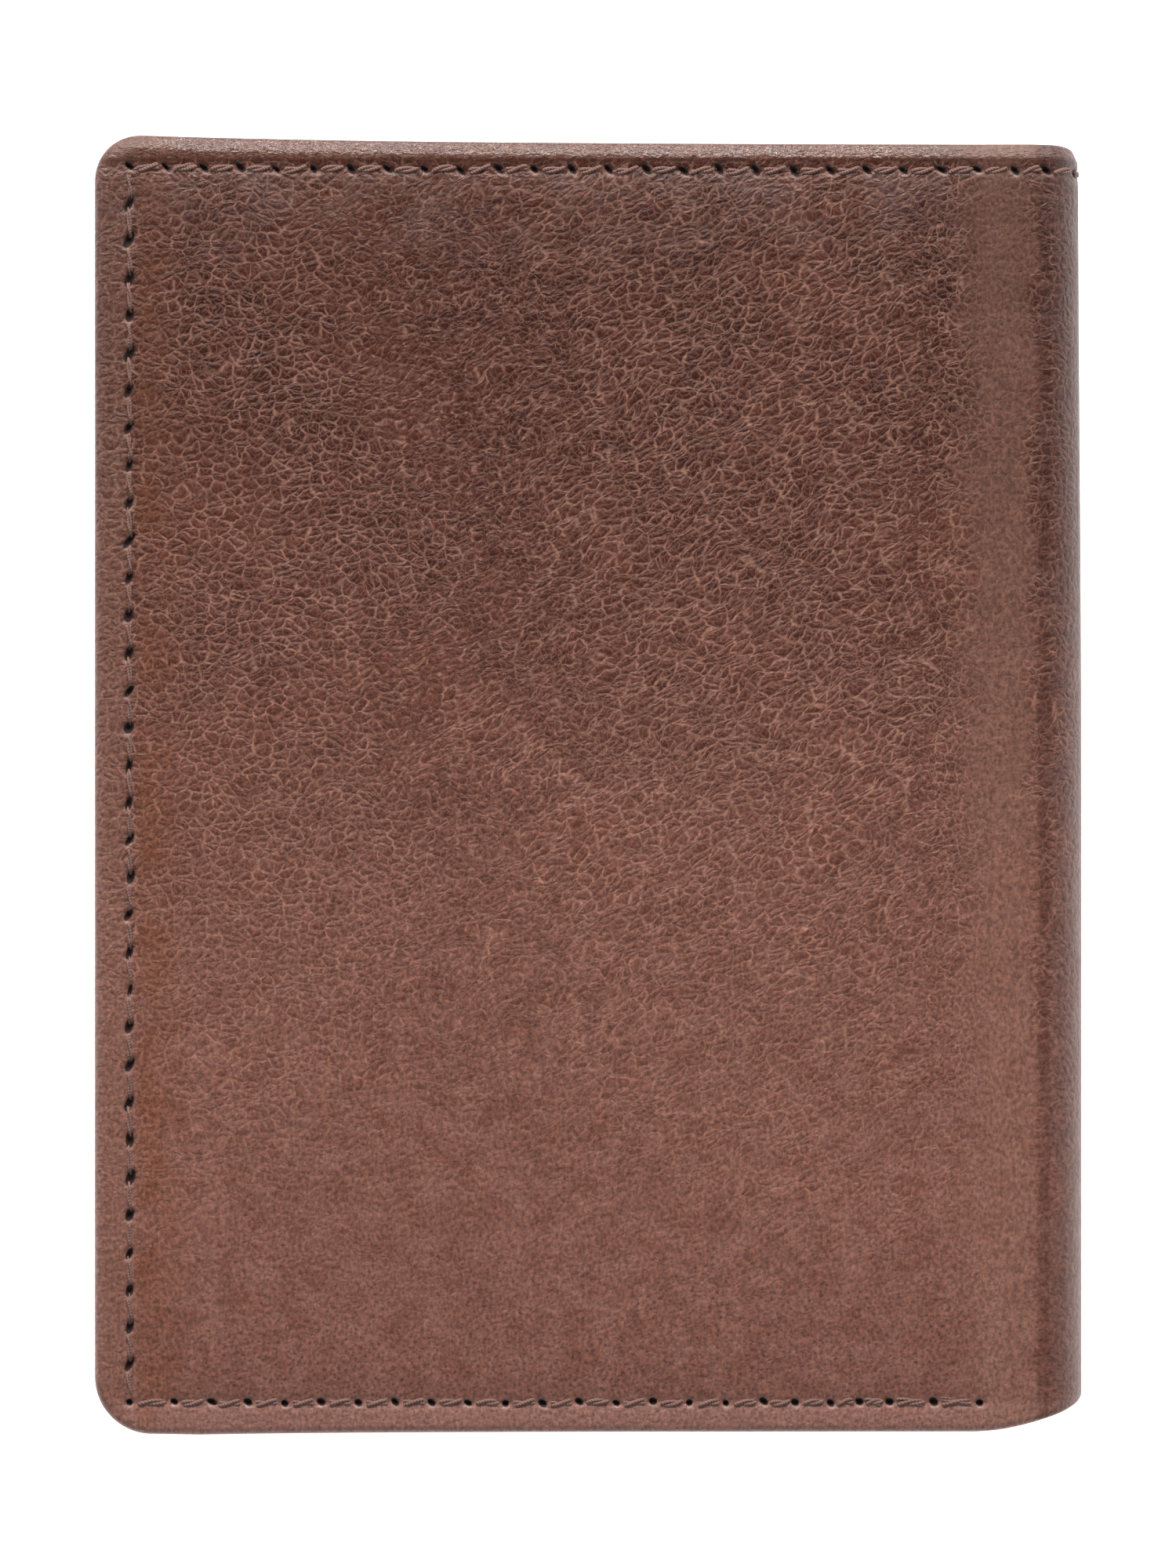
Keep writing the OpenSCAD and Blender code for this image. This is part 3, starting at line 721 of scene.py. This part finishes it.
def plain_leather(name, dark, light, crease, scale, gloss):
    """Finer, thinner leather of the pockets and the divider."""
    m = Shader(name)
    flat = m.flat()
    p = m.vector("ADD", flat, m.vector("SCALE", m.noise(flat, 0.5, 2.0, 0.5, colour=True), scale=1.2))
    grain = m.cells(m.mapped(p, 25, (scale * 1.4, scale, scale)))
    fine = m.noise(flat, 2.6, 3.0, 0.6)
    patch = m.noise(flat, 0.3, 4.0, 0.65)
    lines = m.times(m.step(grain, 0.0, 0.16, 1.0, 0.0), m.step(patch, 0.35, 0.65, 0.3, 0.8))
    colour = m.mix(m.step(patch, 0.2, 0.8), dark, light)
    colour = m.mix(lines, colour, crease)
    speckle = m.mix(m.step(fine, 0.25, 0.75), (0.36, 0.36, 0.36), (0.66, 0.66, 0.66))
    colour = m.mix(0.5, colour, speckle, "OVERLAY")
    # Darker at a pocket's mouth, burnished and with painted shade that marks the step, and along its creased
    # line
    mark = m.attribute("mark")
    colour = m.mix(m.times(mark, 0.75), colour, (0.022, 0.009, 0.007))
    height = m.plus(m.step(grain, 0.0, 0.5), m.times(fine, 0.5))
    normal = m.bump(height, 0.5, 0.00009)
    return m.finish(colour, m.step(patch, 0.3, 0.7, gloss, gloss + 0.12), normal, Specular_IOR_Level=0.25)


def fabric():
    """Plain woven lining, threads 0.35 mm apart."""
    m = Shader("Lining fabric")
    flat = m.flat()
    u, v = m.split(flat)[:2]
    k = math.pi / 0.35
    warp = m.math("SINE", m.times(u, k))
    weft = m.math("SINE", m.times(v, k))
    weave = m.times(warp, weft)
    slub = m.noise(m.mapped(flat, 0, (0.4, 3.0, 1.0)), 1.0, 2.0, 0.5)
    colour = m.mix(m.step(weave, -0.6, 0.6), (0.028, 0.018, 0.014), (0.062, 0.042, 0.033))
    colour = m.mix(m.step(slub, 0.35, 0.7, 0.0, 0.4), colour, (0.085, 0.06, 0.048))
    return m.finish(colour, m.step(slub, 0.3, 0.7, 0.7, 0.85), m.bump(weave, 0.5, 0.00005),
                    Specular_IOR_Level=0.25)


def thread_material():
    """Waxed polyester sewing thread."""
    m = Shader("Sewing thread")
    flat = m.flat()
    along, around = m.split(flat)[:2]
    ply = m.math("SINE", m.plus(m.times(along, 22.0), m.times(around, 2.0)))
    tint = m.noise(flat, 1.3, 2.0, 0.5)
    colour = m.mix(m.step(ply, -0.8, 0.8), (0.15, 0.077, 0.062), (0.225, 0.127, 0.106))
    colour = m.mix(m.step(tint, 0.4, 0.7, 0.0, 0.4), colour, (0.26, 0.165, 0.15))
    return m.finish(colour, m.step(tint, 0.3, 0.7, 0.55, 0.7), m.bump(ply, 0.4, 0.00004),
                    Specular_IOR_Level=0.3)


def vinyl_material():
    """Clear sheet with a light haze."""
    m = Shader("Clear vinyl")
    flat = m.flat()
    ripple = m.noise(flat, 0.12, 2.0, 0.5)
    haze = m.noise(flat, 0.5, 3.0, 0.6)
    colour = m.mix(m.step(haze, 0.3, 0.7), (0.24, 0.25, 0.26), (0.34, 0.35, 0.36))
    return m.finish(colour, m.step(haze, 0.3, 0.7, 0.1, 0.2), m.bump(ripple, 0.12, 0.0004),
                    IOR=1.45, Alpha=0.14, Specular_IOR_Level=0.4)


def board_material():
    """Grey-brown fibre board."""
    m = Shader("Stiffener board")
    where = m.node("ShaderNodeTexCoord").outputs["Object"]
    fibre = m.noise(m.mapped(where, 0, (0.0008, 0.0002, 0.001)), 1.0, 4.0, 0.6)
    colour = m.mix(m.step(fibre, 0.3, 0.7), (0.3, 0.23, 0.15), (0.46, 0.38, 0.27))
    return m.finish(colour, m.step(fibre, 0.3, 0.7, 0.7, 0.9), m.bump(fibre, 0.3, 0.0001))


HIDE = hide_leather()
POCKET = plain_leather("Pocket leather", (0.078, 0.027, 0.019), (0.118, 0.044, 0.03), (0.2, 0.09, 0.065),
                       0.9, 0.5)
DIVIDER = plain_leather("Divider leather", (0.12, 0.053, 0.038), (0.165, 0.078, 0.056), (0.22, 0.115, 0.085),
                        0.7, 0.58)
FABRIC = fabric()
THREAD = thread_material()
VINYL = vinyl_material()
BOARD = board_material()

# ---- the hide, in four pieces that meet where it is flat ----

LEATHER_T, HEM_T, SEAM_T = 1.0, 1.45, 1.66
# How far the outer and the inner face of the hide drop at the inner flap's free edge
TIP_DROP, TIP_DROP_IN = 0.9, 0.4
# Corners of the layers at the free edge of a flap
FREE_CORNERS = {"rt": 3.0, "rb": 3.0}


def thickness(fold, s, v):
    """Depth of the hide's inner face: thin over the bends, doubled where its edges are turned over."""
    straight = smooth(np.abs(s - fold.middle), fold.middle - fold.s1 + 1.5, fold.middle - fold.s1 + 4.5)
    top = smooth(v, HALF_H - HEM - 0.5, HALF_H - HEM) * (HEM_T - LEATHER_T) * (0.55 + 0.45 * straight)
    bottom = smooth(-v, HALF_H - HEM - 0.5, HALF_H - HEM) * (SEAM_T - LEATHER_T) * straight
    side = smooth(s, fold.end - HEM, fold.end - HEM + 0.5) * (SEAM_T - LEATHER_T)
    return LEATHER_T + np.maximum(np.maximum(top, bottom), side)


def tip_drop(fold, s, drop):
    """The slope of the inner flap's free edge. The outer flap has none."""
    return 0 * s if fold is OUTER else drop * smooth(s, fold.end - 6, fold.end)


def hide_flat(fold):
    """Where the places of a sheet lie on the hide when it is flattened."""
    return lambda s, v: np.stack([u_of(fold, s), v], -1)


def hide_piece(part, fold, s0, s1, corners, k, step):
    rolled = "rbt" if is_free(part) else "bt"
    s_breaks = cells(s0, s1, step, first=0.4 if s0 > 0 else None, last=1.0 if is_free(part) else 0.4)
    v_breaks = cells(-HALF_H, HALF_H, step, first=1.0, last=1.0)

    def shift(s, v):
        low, high = bottom_edge(fold, s), top_edge(fold, s)
        down = (low + HALF_H) * (1 - smooth(v, -HALF_H, -HALF_H + 16))
        up = (high - HALF_H) * smooth(v, HALF_H - 16, HALF_H)
        return v + down + up

    def faces_at(s, v):
        u = u_of(fold, s)
        face, pit, lip = leather_face(part, u, v)
        # The turned edge slopes evenly before it rounds over
        face = face + 0.16 * (1 - smooth(top_edge(fold, s) - v, 0.35, 1.25))
        back = thickness(fold, s, v) + tip_drop(fold, s, TIP_DROP_IN)
        return face + tip_drop(fold, s, TIP_DROP), back, {"pit": pit, "lip": lip}

    a = (s_breaks[:-1] + s_breaks[1:]) / 2
    b = (v_breaks[:-1] + v_breaks[1:]) / 2
    A, B = np.meshgrid(u_of(fold, a), b, indexing="ij")
    fine = (np.abs(B - TOP_SEAM) < 1.9) | (np.abs(B - BOTTOM_SEAM) < 1.9)
    if part == "outer":
        fine |= np.abs(A - SIDE_SEAM_X) < 1.7
    return shell("leather_" + LABEL[part], s_breaks, v_breaks, faces_at, fold.place, HIDE, hide_flat(fold),
                 rolled, corners, k, fine, shift, roll=1.0, flat_bottom=1.8, round_top=0.62)


PARTS = {"outer": (OUTER, OUTER.middle, OUTER.end), "middle_outer": (OUTER, 0.0, OUTER.middle),
         "middle_inner": (INNER, 0.0, INNER.middle), "inner": (INNER, INNER.middle, INNER.end)}
LABEL = {"outer": "outer_flap", "middle_outer": "middle_outer", "middle_inner": "middle_inner",
         "inner": "inner_flap"}
# The rounded corners, the fine cells to a coarse one and the width of a coarse cell
HIDE_MESH = {"outer": ({"rt": 4.0, "rb": 4.8}, 5, 1.0), "middle_outer": ({}, 4, 1.2),
             "middle_inner": ({}, 4, 1.2), "inner": (FREE_CORNERS, 4, 1.2)}


def is_free(part):
    """Whether a part ends at the free edge of a flap."""
    return part in ("outer", "inner")


def bend(ob):
    """Bakes a piece's transform into its mesh. Its points already lie round its fold."""
    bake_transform(ob)


NODES_OF = {
    "leather": {"outer": ["outer_flap_cover"], "middle_outer": ["center_cover", "outer_fold_leather"],
                "middle_inner": ["inner_fold_leather"], "inner": ["inner_flap_cover"]},
    "lining": {"outer": ["outer_flap_lining"], "middle_outer": ["center_lining", "outer_fold_lining"],
               "middle_inner": ["inner_fold_lining"], "inner": ["inner_flap_lining"]},
    "divider": {"outer": ["outer_flap_divider"], "middle_outer": ["center_divider", "outer_fold_divider"],
                "middle_inner": ["inner_fold_divider"], "inner": ["inner_flap_divider"]},
}


def settle(ob, nodes):
    """Bakes a part's piece, which stands in place of the nodes, and hides those nodes."""
    bend(ob)
    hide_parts(*nodes)


for part in PARTS:
    settle(hide_piece(part, *PARTS[part], *HIDE_MESH[part]), NODES_OF["leather"][part])

# ---- lining and divider ----

for part, (fold, s0, s1) in PARTS.items():
    free = is_free(part)
    rolled = "rbt" if free else "bt"

    def lining_faces(s, v, fold=fold):
        inside = smooth(np.abs(s - fold.middle), fold.middle - fold.s1 + 0.5, fold.middle - fold.s1 + 3.0)
        mid = 1.2 + (LINING_D - 1.2) * inside
        mid = mid + 0.02 * np.sin(s / 3.0) * np.sin(v / 4.0) * inside + tip_drop(fold, s, 0.3)
        return mid - 0.08, mid + 0.08, None

    edge = HEM + 0.1
    s_end = s1 - edge if free else s1
    low, high = -HALF_H + edge, HALF_H - edge
    ob = shell("lining_" + LABEL[part], cells(s0, s_end, 1.3, 0.4 if free else None, 0.2 if free else 0.4),
               cells(low, high, 3.0, 0.2, 0.2), lining_faces, fold.place, FABRIC, hide_flat(fold), rolled,
               roll=0.15)
    settle(ob, NODES_OF["lining"][part])

    def divider_faces(s, v, fold=fold):
        drop = tip_drop(fold, s, TIP_DROP_IN)
        lip_roll = 0.05 * np.exp(-((v - INSIDE_TOP + 0.7) / 0.35) ** 2)
        return DIVIDER_D + 0.01 + drop, POCKET_D - 0.01 + drop - lip_roll, None

    low, high = -HALF_H, INSIDE_TOP
    s_end = s1 - 0.6 if free else s1

    def divider_shift(s, v, fold=fold):
        down = (bottom_edge(fold, s) + HALF_H + 0.35) * (1 - smooth(v, -HALF_H, -HALF_H + 16))
        return v + down

    ob = shell("divider_" + LABEL[part], cells(s0, s_end, 1.0, 0.4 if free else None, 0.25 if free else 0.4),
               cells(low, high, 2.0, 0.3, 0.3), divider_faces, fold.place, DIVIDER, hide_flat(fold), rolled,
               FREE_CORNERS if free else {}, shift=divider_shift, roll=0.2)
    settle(ob, NODES_OF["divider"][part])

# ---- pockets ----


def ride(ob, body, node):
    """Puts a piece on one body, in place of a node."""
    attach(ob, body)
    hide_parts(node)


def on_outer_flap(x, v, n):
    return np.stack(np.broadcast_arrays(x, v, TOP - n), -1)


def on_middle(x, v, n):
    return np.stack(np.broadcast_arrays(x, v, n), -1)


def on_inner_flap(x, v, n):
    return np.stack(np.broadcast_arrays(x, v, INNER_TOP - n), -1)


# The hinge lines that the pockets' mouths are measured from
OUTER_LINE, INNER_LINE = RIGHT - OUTER_INSET, INNER_FACE - INNER_INSET
SLOT_T = 0.4
SLOT_LOW, SLOT_HIGH = -HALF_H + 1, INSIDE_TOP - 0.5
# The outer flap's slots lie in steps, and all but the last end on the leather under them
OUTER_SLOTS, SLOT_STEP, SLOT_LENGTH = (1, 2, 3), 9, 48
FIRST_MOUTH = 13
INNER_MOUTHS = (6, 13)


def slot_mouth(k):
    return FIRST_MOUTH + (k - 1) * SLOT_STEP


def slot_depth_outer(k, u):
    """Depth of the near face of card slot k of the outer flap, u from its hinge line."""
    start = POCKET_D + (k - 1) * SLOT_T
    bend_at = slot_mouth(k - 1) + SLOT_LENGTH + 0.6
    return start - (start - POCKET_D) * smooth(u, bend_at, bend_at + 1.5 * (k - 1) + 0.01)


def pressed(distance):
    """The line creased along a pocket mouth, in mm of depth."""
    return 0.07 * np.exp(-((distance - 1.6) / 0.22) ** 2)


def mouth_mark(distance):
    """How much a place is on the burnished edge of a pocket's mouth, which is darkened also as painted shade
    that marks the step, or in its creased line.
    """
    crease = 0.75 * np.exp(-((distance - 1.6) / 0.24) ** 2)
    return {"mark": np.maximum(1 - smooth(distance, 0.2, 0.6), crease)}


def pocket(name, x_mouth, x_end, near, place, body, node, corners=None, step=1.0):
    """A pocket sheet from its mouth to its closed end. near gives the depth of the face it lies on."""
    sign = 1 if x_end > x_mouth else -1
    length = abs(x_end - x_mouth)

    def faces_at(s, v):
        x = x_mouth + sign * s
        base = near(x)
        top_seam = 0.05 * np.exp(-((v - SLOT_HIGH + 1.5) / 0.4) ** 2)
        bow = 0.05 * np.exp(-(s / 6.0) ** 2) * np.cos(np.clip(v / HALF_H, -1, 1) * math.pi / 2)
        return base + 0.01, base + SLOT_T - 0.015 - pressed(s) - top_seam - 0.03 + bow * 0.5, mouth_mark(s)

    ob = shell(name, cells(0, length, step, 0.35, 0.35), cells(SLOT_LOW, SLOT_HIGH, 2.0, 0.35, 0.35),
               faces_at, lambda s, v, n: place(x_mouth + sign * s, v, n), POCKET,
               lambda s, v: np.stack([s * sign + 11.0 * x_mouth, v], -1), corners=corners, k=2)
    ride(ob, body, node)


for k in OUTER_SLOTS:
    mouth = slot_mouth(k)
    last = k == OUTER_SLOTS[-1]
    end = OUTER_LINE - LEFT - 1 if last else mouth + SLOT_LENGTH
    pocket(f"card_slot_outer_{k}", OUTER_LINE - mouth, OUTER_LINE - end,
           lambda x, k=k: slot_depth_outer(k, OUTER_LINE - x), on_outer_flap, "outer_flap",
           f"outer_card_slot_{k}", FREE_CORNERS if last else None)
pocket("card_slot_inner_1", -INNER_LINE + INNER_MOUTHS[0], INNER_TIP - 6, lambda x: POCKET_D + 0 * x,
       on_inner_flap, "inner_flap", "inner_card_slot_1")
pocket("card_slot_inner_2", -INNER_LINE + INNER_MOUTHS[1], INNER_TIP - 1, lambda x: POCKET_D + SLOT_T + 0 * x,
       on_inner_flap, "inner_flap", "inner_card_slot_2", FREE_CORNERS)


def slip_faces(s, v):
    from_mouth = slip_high[0] - s
    return slip_low[2] + 0.01 + 0 * s, slip_high[2] - 0.02 - pressed(from_mouth), mouth_mark(from_mouth)


ob = shell("slip_pocket", cells(slip_low[0], slip_high[0], 1.2, 0.35, 0.35),
           cells(slip_low[1], slip_high[1], 2.0, 0.35, 0.35), slip_faces, on_middle, POCKET,
           lambda s, v: np.stack([s + 300, v], -1), k=2)
ride(ob, "center_panel", "center_slip_pocket")


def vinyl_faces(s, v):
    return vinyl_low[2] + 0.03 + 0 * s, vinyl_high[2] - 0.02 + 0 * s, None


ob = shell("window_vinyl", cells(vinyl_low[0], window_high[0] - 7.9, 3.0, 0.2, 0.2),
           cells(vinyl_low[1], vinyl_high[1], 3.0, 0.2, 0.2), vinyl_faces, on_middle, VINYL,
           lambda s, v: np.stack([s, v], -1), corners={"lb": 3.0, "lt": 3.0, "rb": 3.0, "rt": 3.0}, k=2,
           roll=0.1)
ride(ob, "center_panel", "id_window")


def rounded_loop(half_w, half_h, r, cx, cy, count):
    """Evenly spaced points round a rectangle with rounded corners, from the middle of its right side."""
    pts = []
    for qx, qy, a0 in ((1, 1, 0), (-1, 1, 90), (-1, -1, 180), (1, -1, 270)):
        for a in np.linspace(a0, a0 + 90, 9):
            angle = math.radians(a)
            pts.append((qx * (half_w - r) + r * math.cos(angle), qy * (half_h - r) + r * math.sin(angle)))
    pts = np.array([(half_w, 0.0)] + pts + [(half_w, 0.0)])
    seg = np.hypot(*np.diff(pts, axis=0).T)
    along = np.concatenate([[0], np.cumsum(seg)])
    t = np.linspace(0, along[-1], count, endpoint=False)
    return np.column_stack([np.interp(t, along, pts[:, 0]) + cx, np.interp(t, along, pts[:, 1]) + cy])


def id_frame():
    """The leather frame round the window, swept round the opening, with its thumb notch."""
    count = 360
    cx, cy = (window_low[0] + window_high[0]) / 2, (window_low[1] + window_high[1]) / 2
    half_w, half_h = (window_high[0] - window_low[0]) / 2, (window_high[1] - window_low[1]) / 2
    hole_w, hole_h = 24.0, 40.0
    inner = rounded_loop(hole_w, hole_h, 3.0, cx, cy, count)
    outer = rounded_loop(half_w, half_h, 1.2, cx, cy, count)
    # The outer loop dips into the thumb notch, which ends 2 mm short of the vinyl's own edge
    dy = outer[:, 1] - cy
    notch = (np.abs(dy) < 6.6) & (outer[:, 0] > cx)
    depth = np.sqrt(np.maximum(36.0 - np.clip(np.abs(dy[notch]), 0, 6) ** 2, 0))
    outer[notch, 0] -= depth * smooth(6.6 - np.abs(dy[notch]), 0, 0.9)
    width = np.hypot(*(outer - inner).T)
    low, high = window_low[2] + 0.01, window_high[2] - 0.02
    vinyl_top = vinyl_high[2] + 0.01
    rows = []
    profile = [(0.0, 0.5), (0.06, 0.2), (0.2, 0.05), (0.45, 0.0), (1.3, 0.0), (1.6, 0.09), (1.9, 0.0),
               (3.0, -0.02)]
    for inset, drop in profile:
        rows.append((inset, high - drop * (0.45 if inset < 0.5 else 0.8), 0))
    rows.append((0.5, high, 2))
    for inset, drop in reversed(profile[:4]):
        rows.append((-inset, high - drop * 0.45, 1))
    rows += [(-0.45, low, 1), (-2.2, low, 1), (3.6, vinyl_top, 3), (0.45, vinyl_top, 0)]
    verts = []
    for inset, n, kind in rows:
        if kind == 2:
            share = np.full(count, 0.5)
        elif kind == 1:
            share = np.maximum(1 + inset / width, 0.55)
        else:
            share = np.minimum(inset / width, 0.45)
        p = inner + (outer - inner) * share[:, None]
        verts.append(np.column_stack([p, np.full(count, n)]))
    m = len(rows)
    verts = np.concatenate(verts)
    faces = []
    for r in range(m):
        for i in range(count):
            a, b = r * count + i, r * count + (i + 1) % count
            c, d2 = ((r + 1) % m) * count + (i + 1) % count, ((r + 1) % m) * count + i
            faces.append((a, d2, c, b))
    flat = np.column_stack([verts[:, 0] + 500, verts[:, 1], verts[:, 2]])
    return new_object("window_frame", verts, faces, POCKET, attributes={"flat": flat})


ride(id_frame(), "center_panel", "id_window_frame")

# ---- stitching ----


def flap_face(x, v):
    """Depth of the thread's middle on the outer flap's face."""
    return THREAD_D + settled_waves(x, v)


def face_depth(fold):
    def depth(s, v):
        u = u_of(fold, np.asarray(s, float))
        return THREAD_D + 0 * u + settled_waves(u, v) + tip_drop(fold, s, TIP_DROP)
    return depth


def back_depth_outer(x):
    """Depth of the pocket face inside the outer flap, at x."""
    u = OUTER_LINE - x
    layers = [POCKET_D + 0 * u]
    for k in OUTER_SLOTS:
        mouth = slot_mouth(k)
        here = (u > mouth) & ((k == OUTER_SLOTS[-1]) | (u < mouth + SLOT_LENGTH))
        layers.append(np.where(here, slot_depth_outer(k, u) + SLOT_T, 0))
    return np.max(layers, axis=0)


def back_depth_inner(x):
    u = x + INNER_LINE
    return POCKET_D + SLOT_T * (u > INNER_MOUTHS[0]) + SLOT_T * (u > INNER_MOUTHS[1])


def back_depth_middle(x):
    return np.where(np.abs(x) < slip_high[0], slip_high[2], POCKET_D)


def run(tubes, place, points, depth, lean, sign=1, dive=0.42, width=0.17, double=()):
    """Stitches from hole to hole. lean tips each one, so that it leaves low and enters high."""
    for i, (a, b) in enumerate(zip(points, points[1:])):
        a, b = np.array(a, float), np.array(b, float)
        d = (b - a) / np.linalg.norm(b - a)
        side = np.array([-d[1], d[0]])
        tip = lean * (1 + 0.2 * rng.normal())
        start, end = a + d * 0.28 - side * tip, b - d * 0.24 + side * tip
        tubes.stitch(place, start, end, depth, dive, width, sign, bow=0.05 * rng.normal())
        if i in double:
            tubes.stitch(place, a + d * 0.1 + side * 0.42, b - d * 0.3 - side * 0.38, depth, dive,
                         width * 0.8, sign, bow=0.1)


def back_run(tubes, place, points, depth):
    """The side of a seam that shows inside the wallet."""
    run(tubes, place, points, lambda x, v: depth(x) - 0.12, 0.1, sign=-1)


HEM_NODES = {"outer": ["outer_flap_hem_stitches", "outer_fold_stitches"],
             "middle_outer": ["center_hem_stitches"], "middle_inner": ["inner_fold_stitches"],
             "inner": ["inner_flap_hem_stitches"]}
for part in PARTS:
    fold = PARTS[part][0]
    seam = top_u[part]
    s = (U_ZERO - seam) * fold.sign
    points = list(zip(s, seam_top(seam)))
    tubes = Tubes()
    # s runs against x on the outer side, so the same lean shows mirrored there
    lean = -0.2 if fold is OUTER else 0.2
    run(tubes, fold.place, points, face_depth(fold), lean, double=(0, 1) if part == "outer" else ())
    inside = [(a, b + 0.25) for a, b in points]
    run(tubes, fold.place, inside,
        lambda s, v, f=fold: thickness(f, s, v) - 0.02 + tip_drop(f, s, TIP_DROP_IN), 0.08, sign=-1,
        dive=0.25, width=0.12)
    settle(tubes.build("thread_hem_" + LABEL[part], THREAD), HEM_NODES[part])

tubes = Tubes()
points = [(x, BOTTOM_SEAM) for x in bottom_u["outer"]]
count = len(points)
run(tubes, on_outer_flap, points, flap_face, 0.14, double=(count - 4, count - 3, count - 2))
back_run(tubes, on_outer_flap, points, back_depth_outer)
ride(tubes.build("thread_bottom_outer_flap", THREAD), "outer_flap", "outer_flap_bottom_stitches")

tubes = Tubes()
points = [(SIDE_SEAM_X, v) for v in side_v]
run(tubes, on_outer_flap, points, lambda x, v: flap_face(x, v) + 0.02, 0.1, width=0.13)
back_run(tubes, on_outer_flap, points[1:], back_depth_outer)
ride(tubes.build("thread_side_outer_flap", THREAD), "outer_flap", "outer_flap_side_stitches")

tubes = Tubes()
for part in ("middle_outer", "middle_inner"):
    points = [(x, BOTTOM_SEAM) for x in U_ZERO - bottom_u[part]]
    run(tubes, on_middle, points, lambda x, v: THREAD_D + waves(U_ZERO - x, v), 0.14)
    back_run(tubes, on_middle, points, back_depth_middle)
ride(tubes.build("thread_bottom_middle", THREAD), "center_panel", "center_bottom_stitches")

tubes = Tubes()
points = [(x, BOTTOM_SEAM) for x in bottom_u["inner"] - U_ZERO - INNER.s4 - INNER.xc]
run(tubes, on_inner_flap, points, lambda x, v: THREAD_D + waves(u_of(INNER, INNER.at_x(x)), v), 0.14)
back_run(tubes, on_inner_flap, points, back_depth_inner)
ride(tubes.build("thread_bottom_inner_flap", THREAD), "inner_flap", "inner_flap_bottom_stitches")

tubes = Tubes()
points = [(INNER_TIP - 3, v) for v in evenly(-51.5, INSIDE_TOP - 2.2)]
back_run(tubes, on_inner_flap, points, back_depth_inner)
ride(tubes.build("thread_side_inner_flap", THREAD), "inner_flap", "inner_flap_side_stitches")

tubes = Tubes()
seam_v = SLOT_HIGH - 1.5
# Each slot's seam stops short of the next mouth, and the last one at the side seam
for k in OUTER_SLOTS:
    mouth = slot_mouth(k)
    end = 78.5 if k == OUTER_SLOTS[-1] else mouth + 8.6
    points = [(OUTER_LINE - a, seam_v) for a in evenly(mouth + 0.7, end)]
    back_run(tubes, on_outer_flap, points, back_depth_outer)
ride(tubes.build("thread_slots_outer_flap", THREAD), "outer_flap", "outer_slot_stitches")

tubes = Tubes()
for a, b in ((6.7, 12.6), (13.7, 55.5)):
    points = [(c - INNER_LINE, seam_v) for c in evenly(a, b)]
    back_run(tubes, on_inner_flap, points, back_depth_inner)
ride(tubes.build("thread_slots_inner_flap", THREAD), "inner_flap", "inner_slot_stitches")

tubes = Tubes()
left, right = window_low[0] + 2, window_high[0] - 2
low, high = window_low[1] + 2, window_high[1] - 2
for points in ([(x, high) for x in evenly(right, left)], [(left, y) for y in evenly(high, low)],
               [(x, low) for x in evenly(left, right)]):
    run(tubes, on_middle, points, window_high[2] - 0.14, 0.1, sign=-1)
ride(tubes.build("thread_window_frame", THREAD), "center_panel", "id_frame_stitches")

for name in ("center_stiffener", "outer_flap_stiffener", "inner_flap_stiffener"):
    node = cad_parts[name]
    node.data.materials.clear()
    node.data.materials.append(BOARD)

# ---- floor, lights and camera ----


def floor():
    m = Shader("Floor")
    where = m.node("ShaderNodeTexCoord").outputs["Object"]
    tone = m.noise(where, 6.0, 2.0)
    m.finish(m.mix(tone, (0.93, 0.93, 0.93), (0.95, 0.95, 0.95)), 0.9)
    m.bsdf.inputs["Emission Color"].default_value = (1, 1, 1, 1)
    m.bsdf.inputs["Emission Strength"].default_value = 0.9
    m.bsdf.inputs["Specular IOR Level"].default_value = 0.0
    size = 3.0
    mesh = bpy.data.meshes.new("floor")
    corners = [(-size, -size, 0), (size, -size, 0), (size, size, 0), (-size, size, 0)]
    mesh.from_pydata(corners, [], [(0, 1, 2, 3)])
    ob = bpy.data.objects.new("floor", mesh)
    ob.location = (0, 0, -0.0004)
    bpy.context.scene.collection.objects.link(ob)
    mesh.materials.append(m.mat)


def light(name, place, size, power, colour=(1, 1, 1)):
    data = bpy.data.lights.new(name, "AREA")
    data.shape = "RECTANGLE"
    data.size, data.size_y = size
    data.energy = power
    data.color = colour
    ob = bpy.data.objects.new(name, data)
    ob.location = place
    ob.rotation_mode = "QUATERNION"
    ob.rotation_quaternion = (-Vector(place)).to_track_quat("-Z", "Y")
    bpy.context.scene.collection.objects.link(ob)


floor()
light("overhead", (-0.15, 0.75, 1.1), (0.9, 0.7), 1.6, (1.0, 0.96, 0.93))
light("strip_top", (0.0, 0.79, 0.44), (1.3, 0.2), 18.0, (1.0, 0.97, 0.94))
light("left", (-0.9, 0.1, 0.6), (0.5, 0.9), 1.0, (1.0, 0.98, 0.96))
light("right", (0.95, 0.0, 0.45), (0.4, 1.0), 0.62, (0.96, 0.97, 1.0))
light("front", (0.0, -0.9, 0.5), (1.2, 0.4), 3.6)

scene = bpy.context.scene
world = scene.world or bpy.data.worlds.new("World")
scene.world = world
world.use_nodes = True
world.node_tree.nodes["Background"].inputs[0].default_value = (1, 1, 1, 1)
world.node_tree.nodes["Background"].inputs[1].default_value = 0.08
scene.view_settings.view_transform = "Standard"

camera = bpy.data.cameras.new("camera")
camera.lens, camera.sensor_width = 150, 36
camera.clip_start, camera.clip_end = 0.01, 10
cam = bpy.data.objects.new("camera", camera)
# The frame's long side, 133.3 mm, is 36 mm on the sensor when the wallet's top face is this far off
distance = 0.13333 * camera.lens / camera.sensor_width
cam.location = (0, 0, TOP * MM + distance)
scene.collection.objects.link(cam)
scene.camera = cam
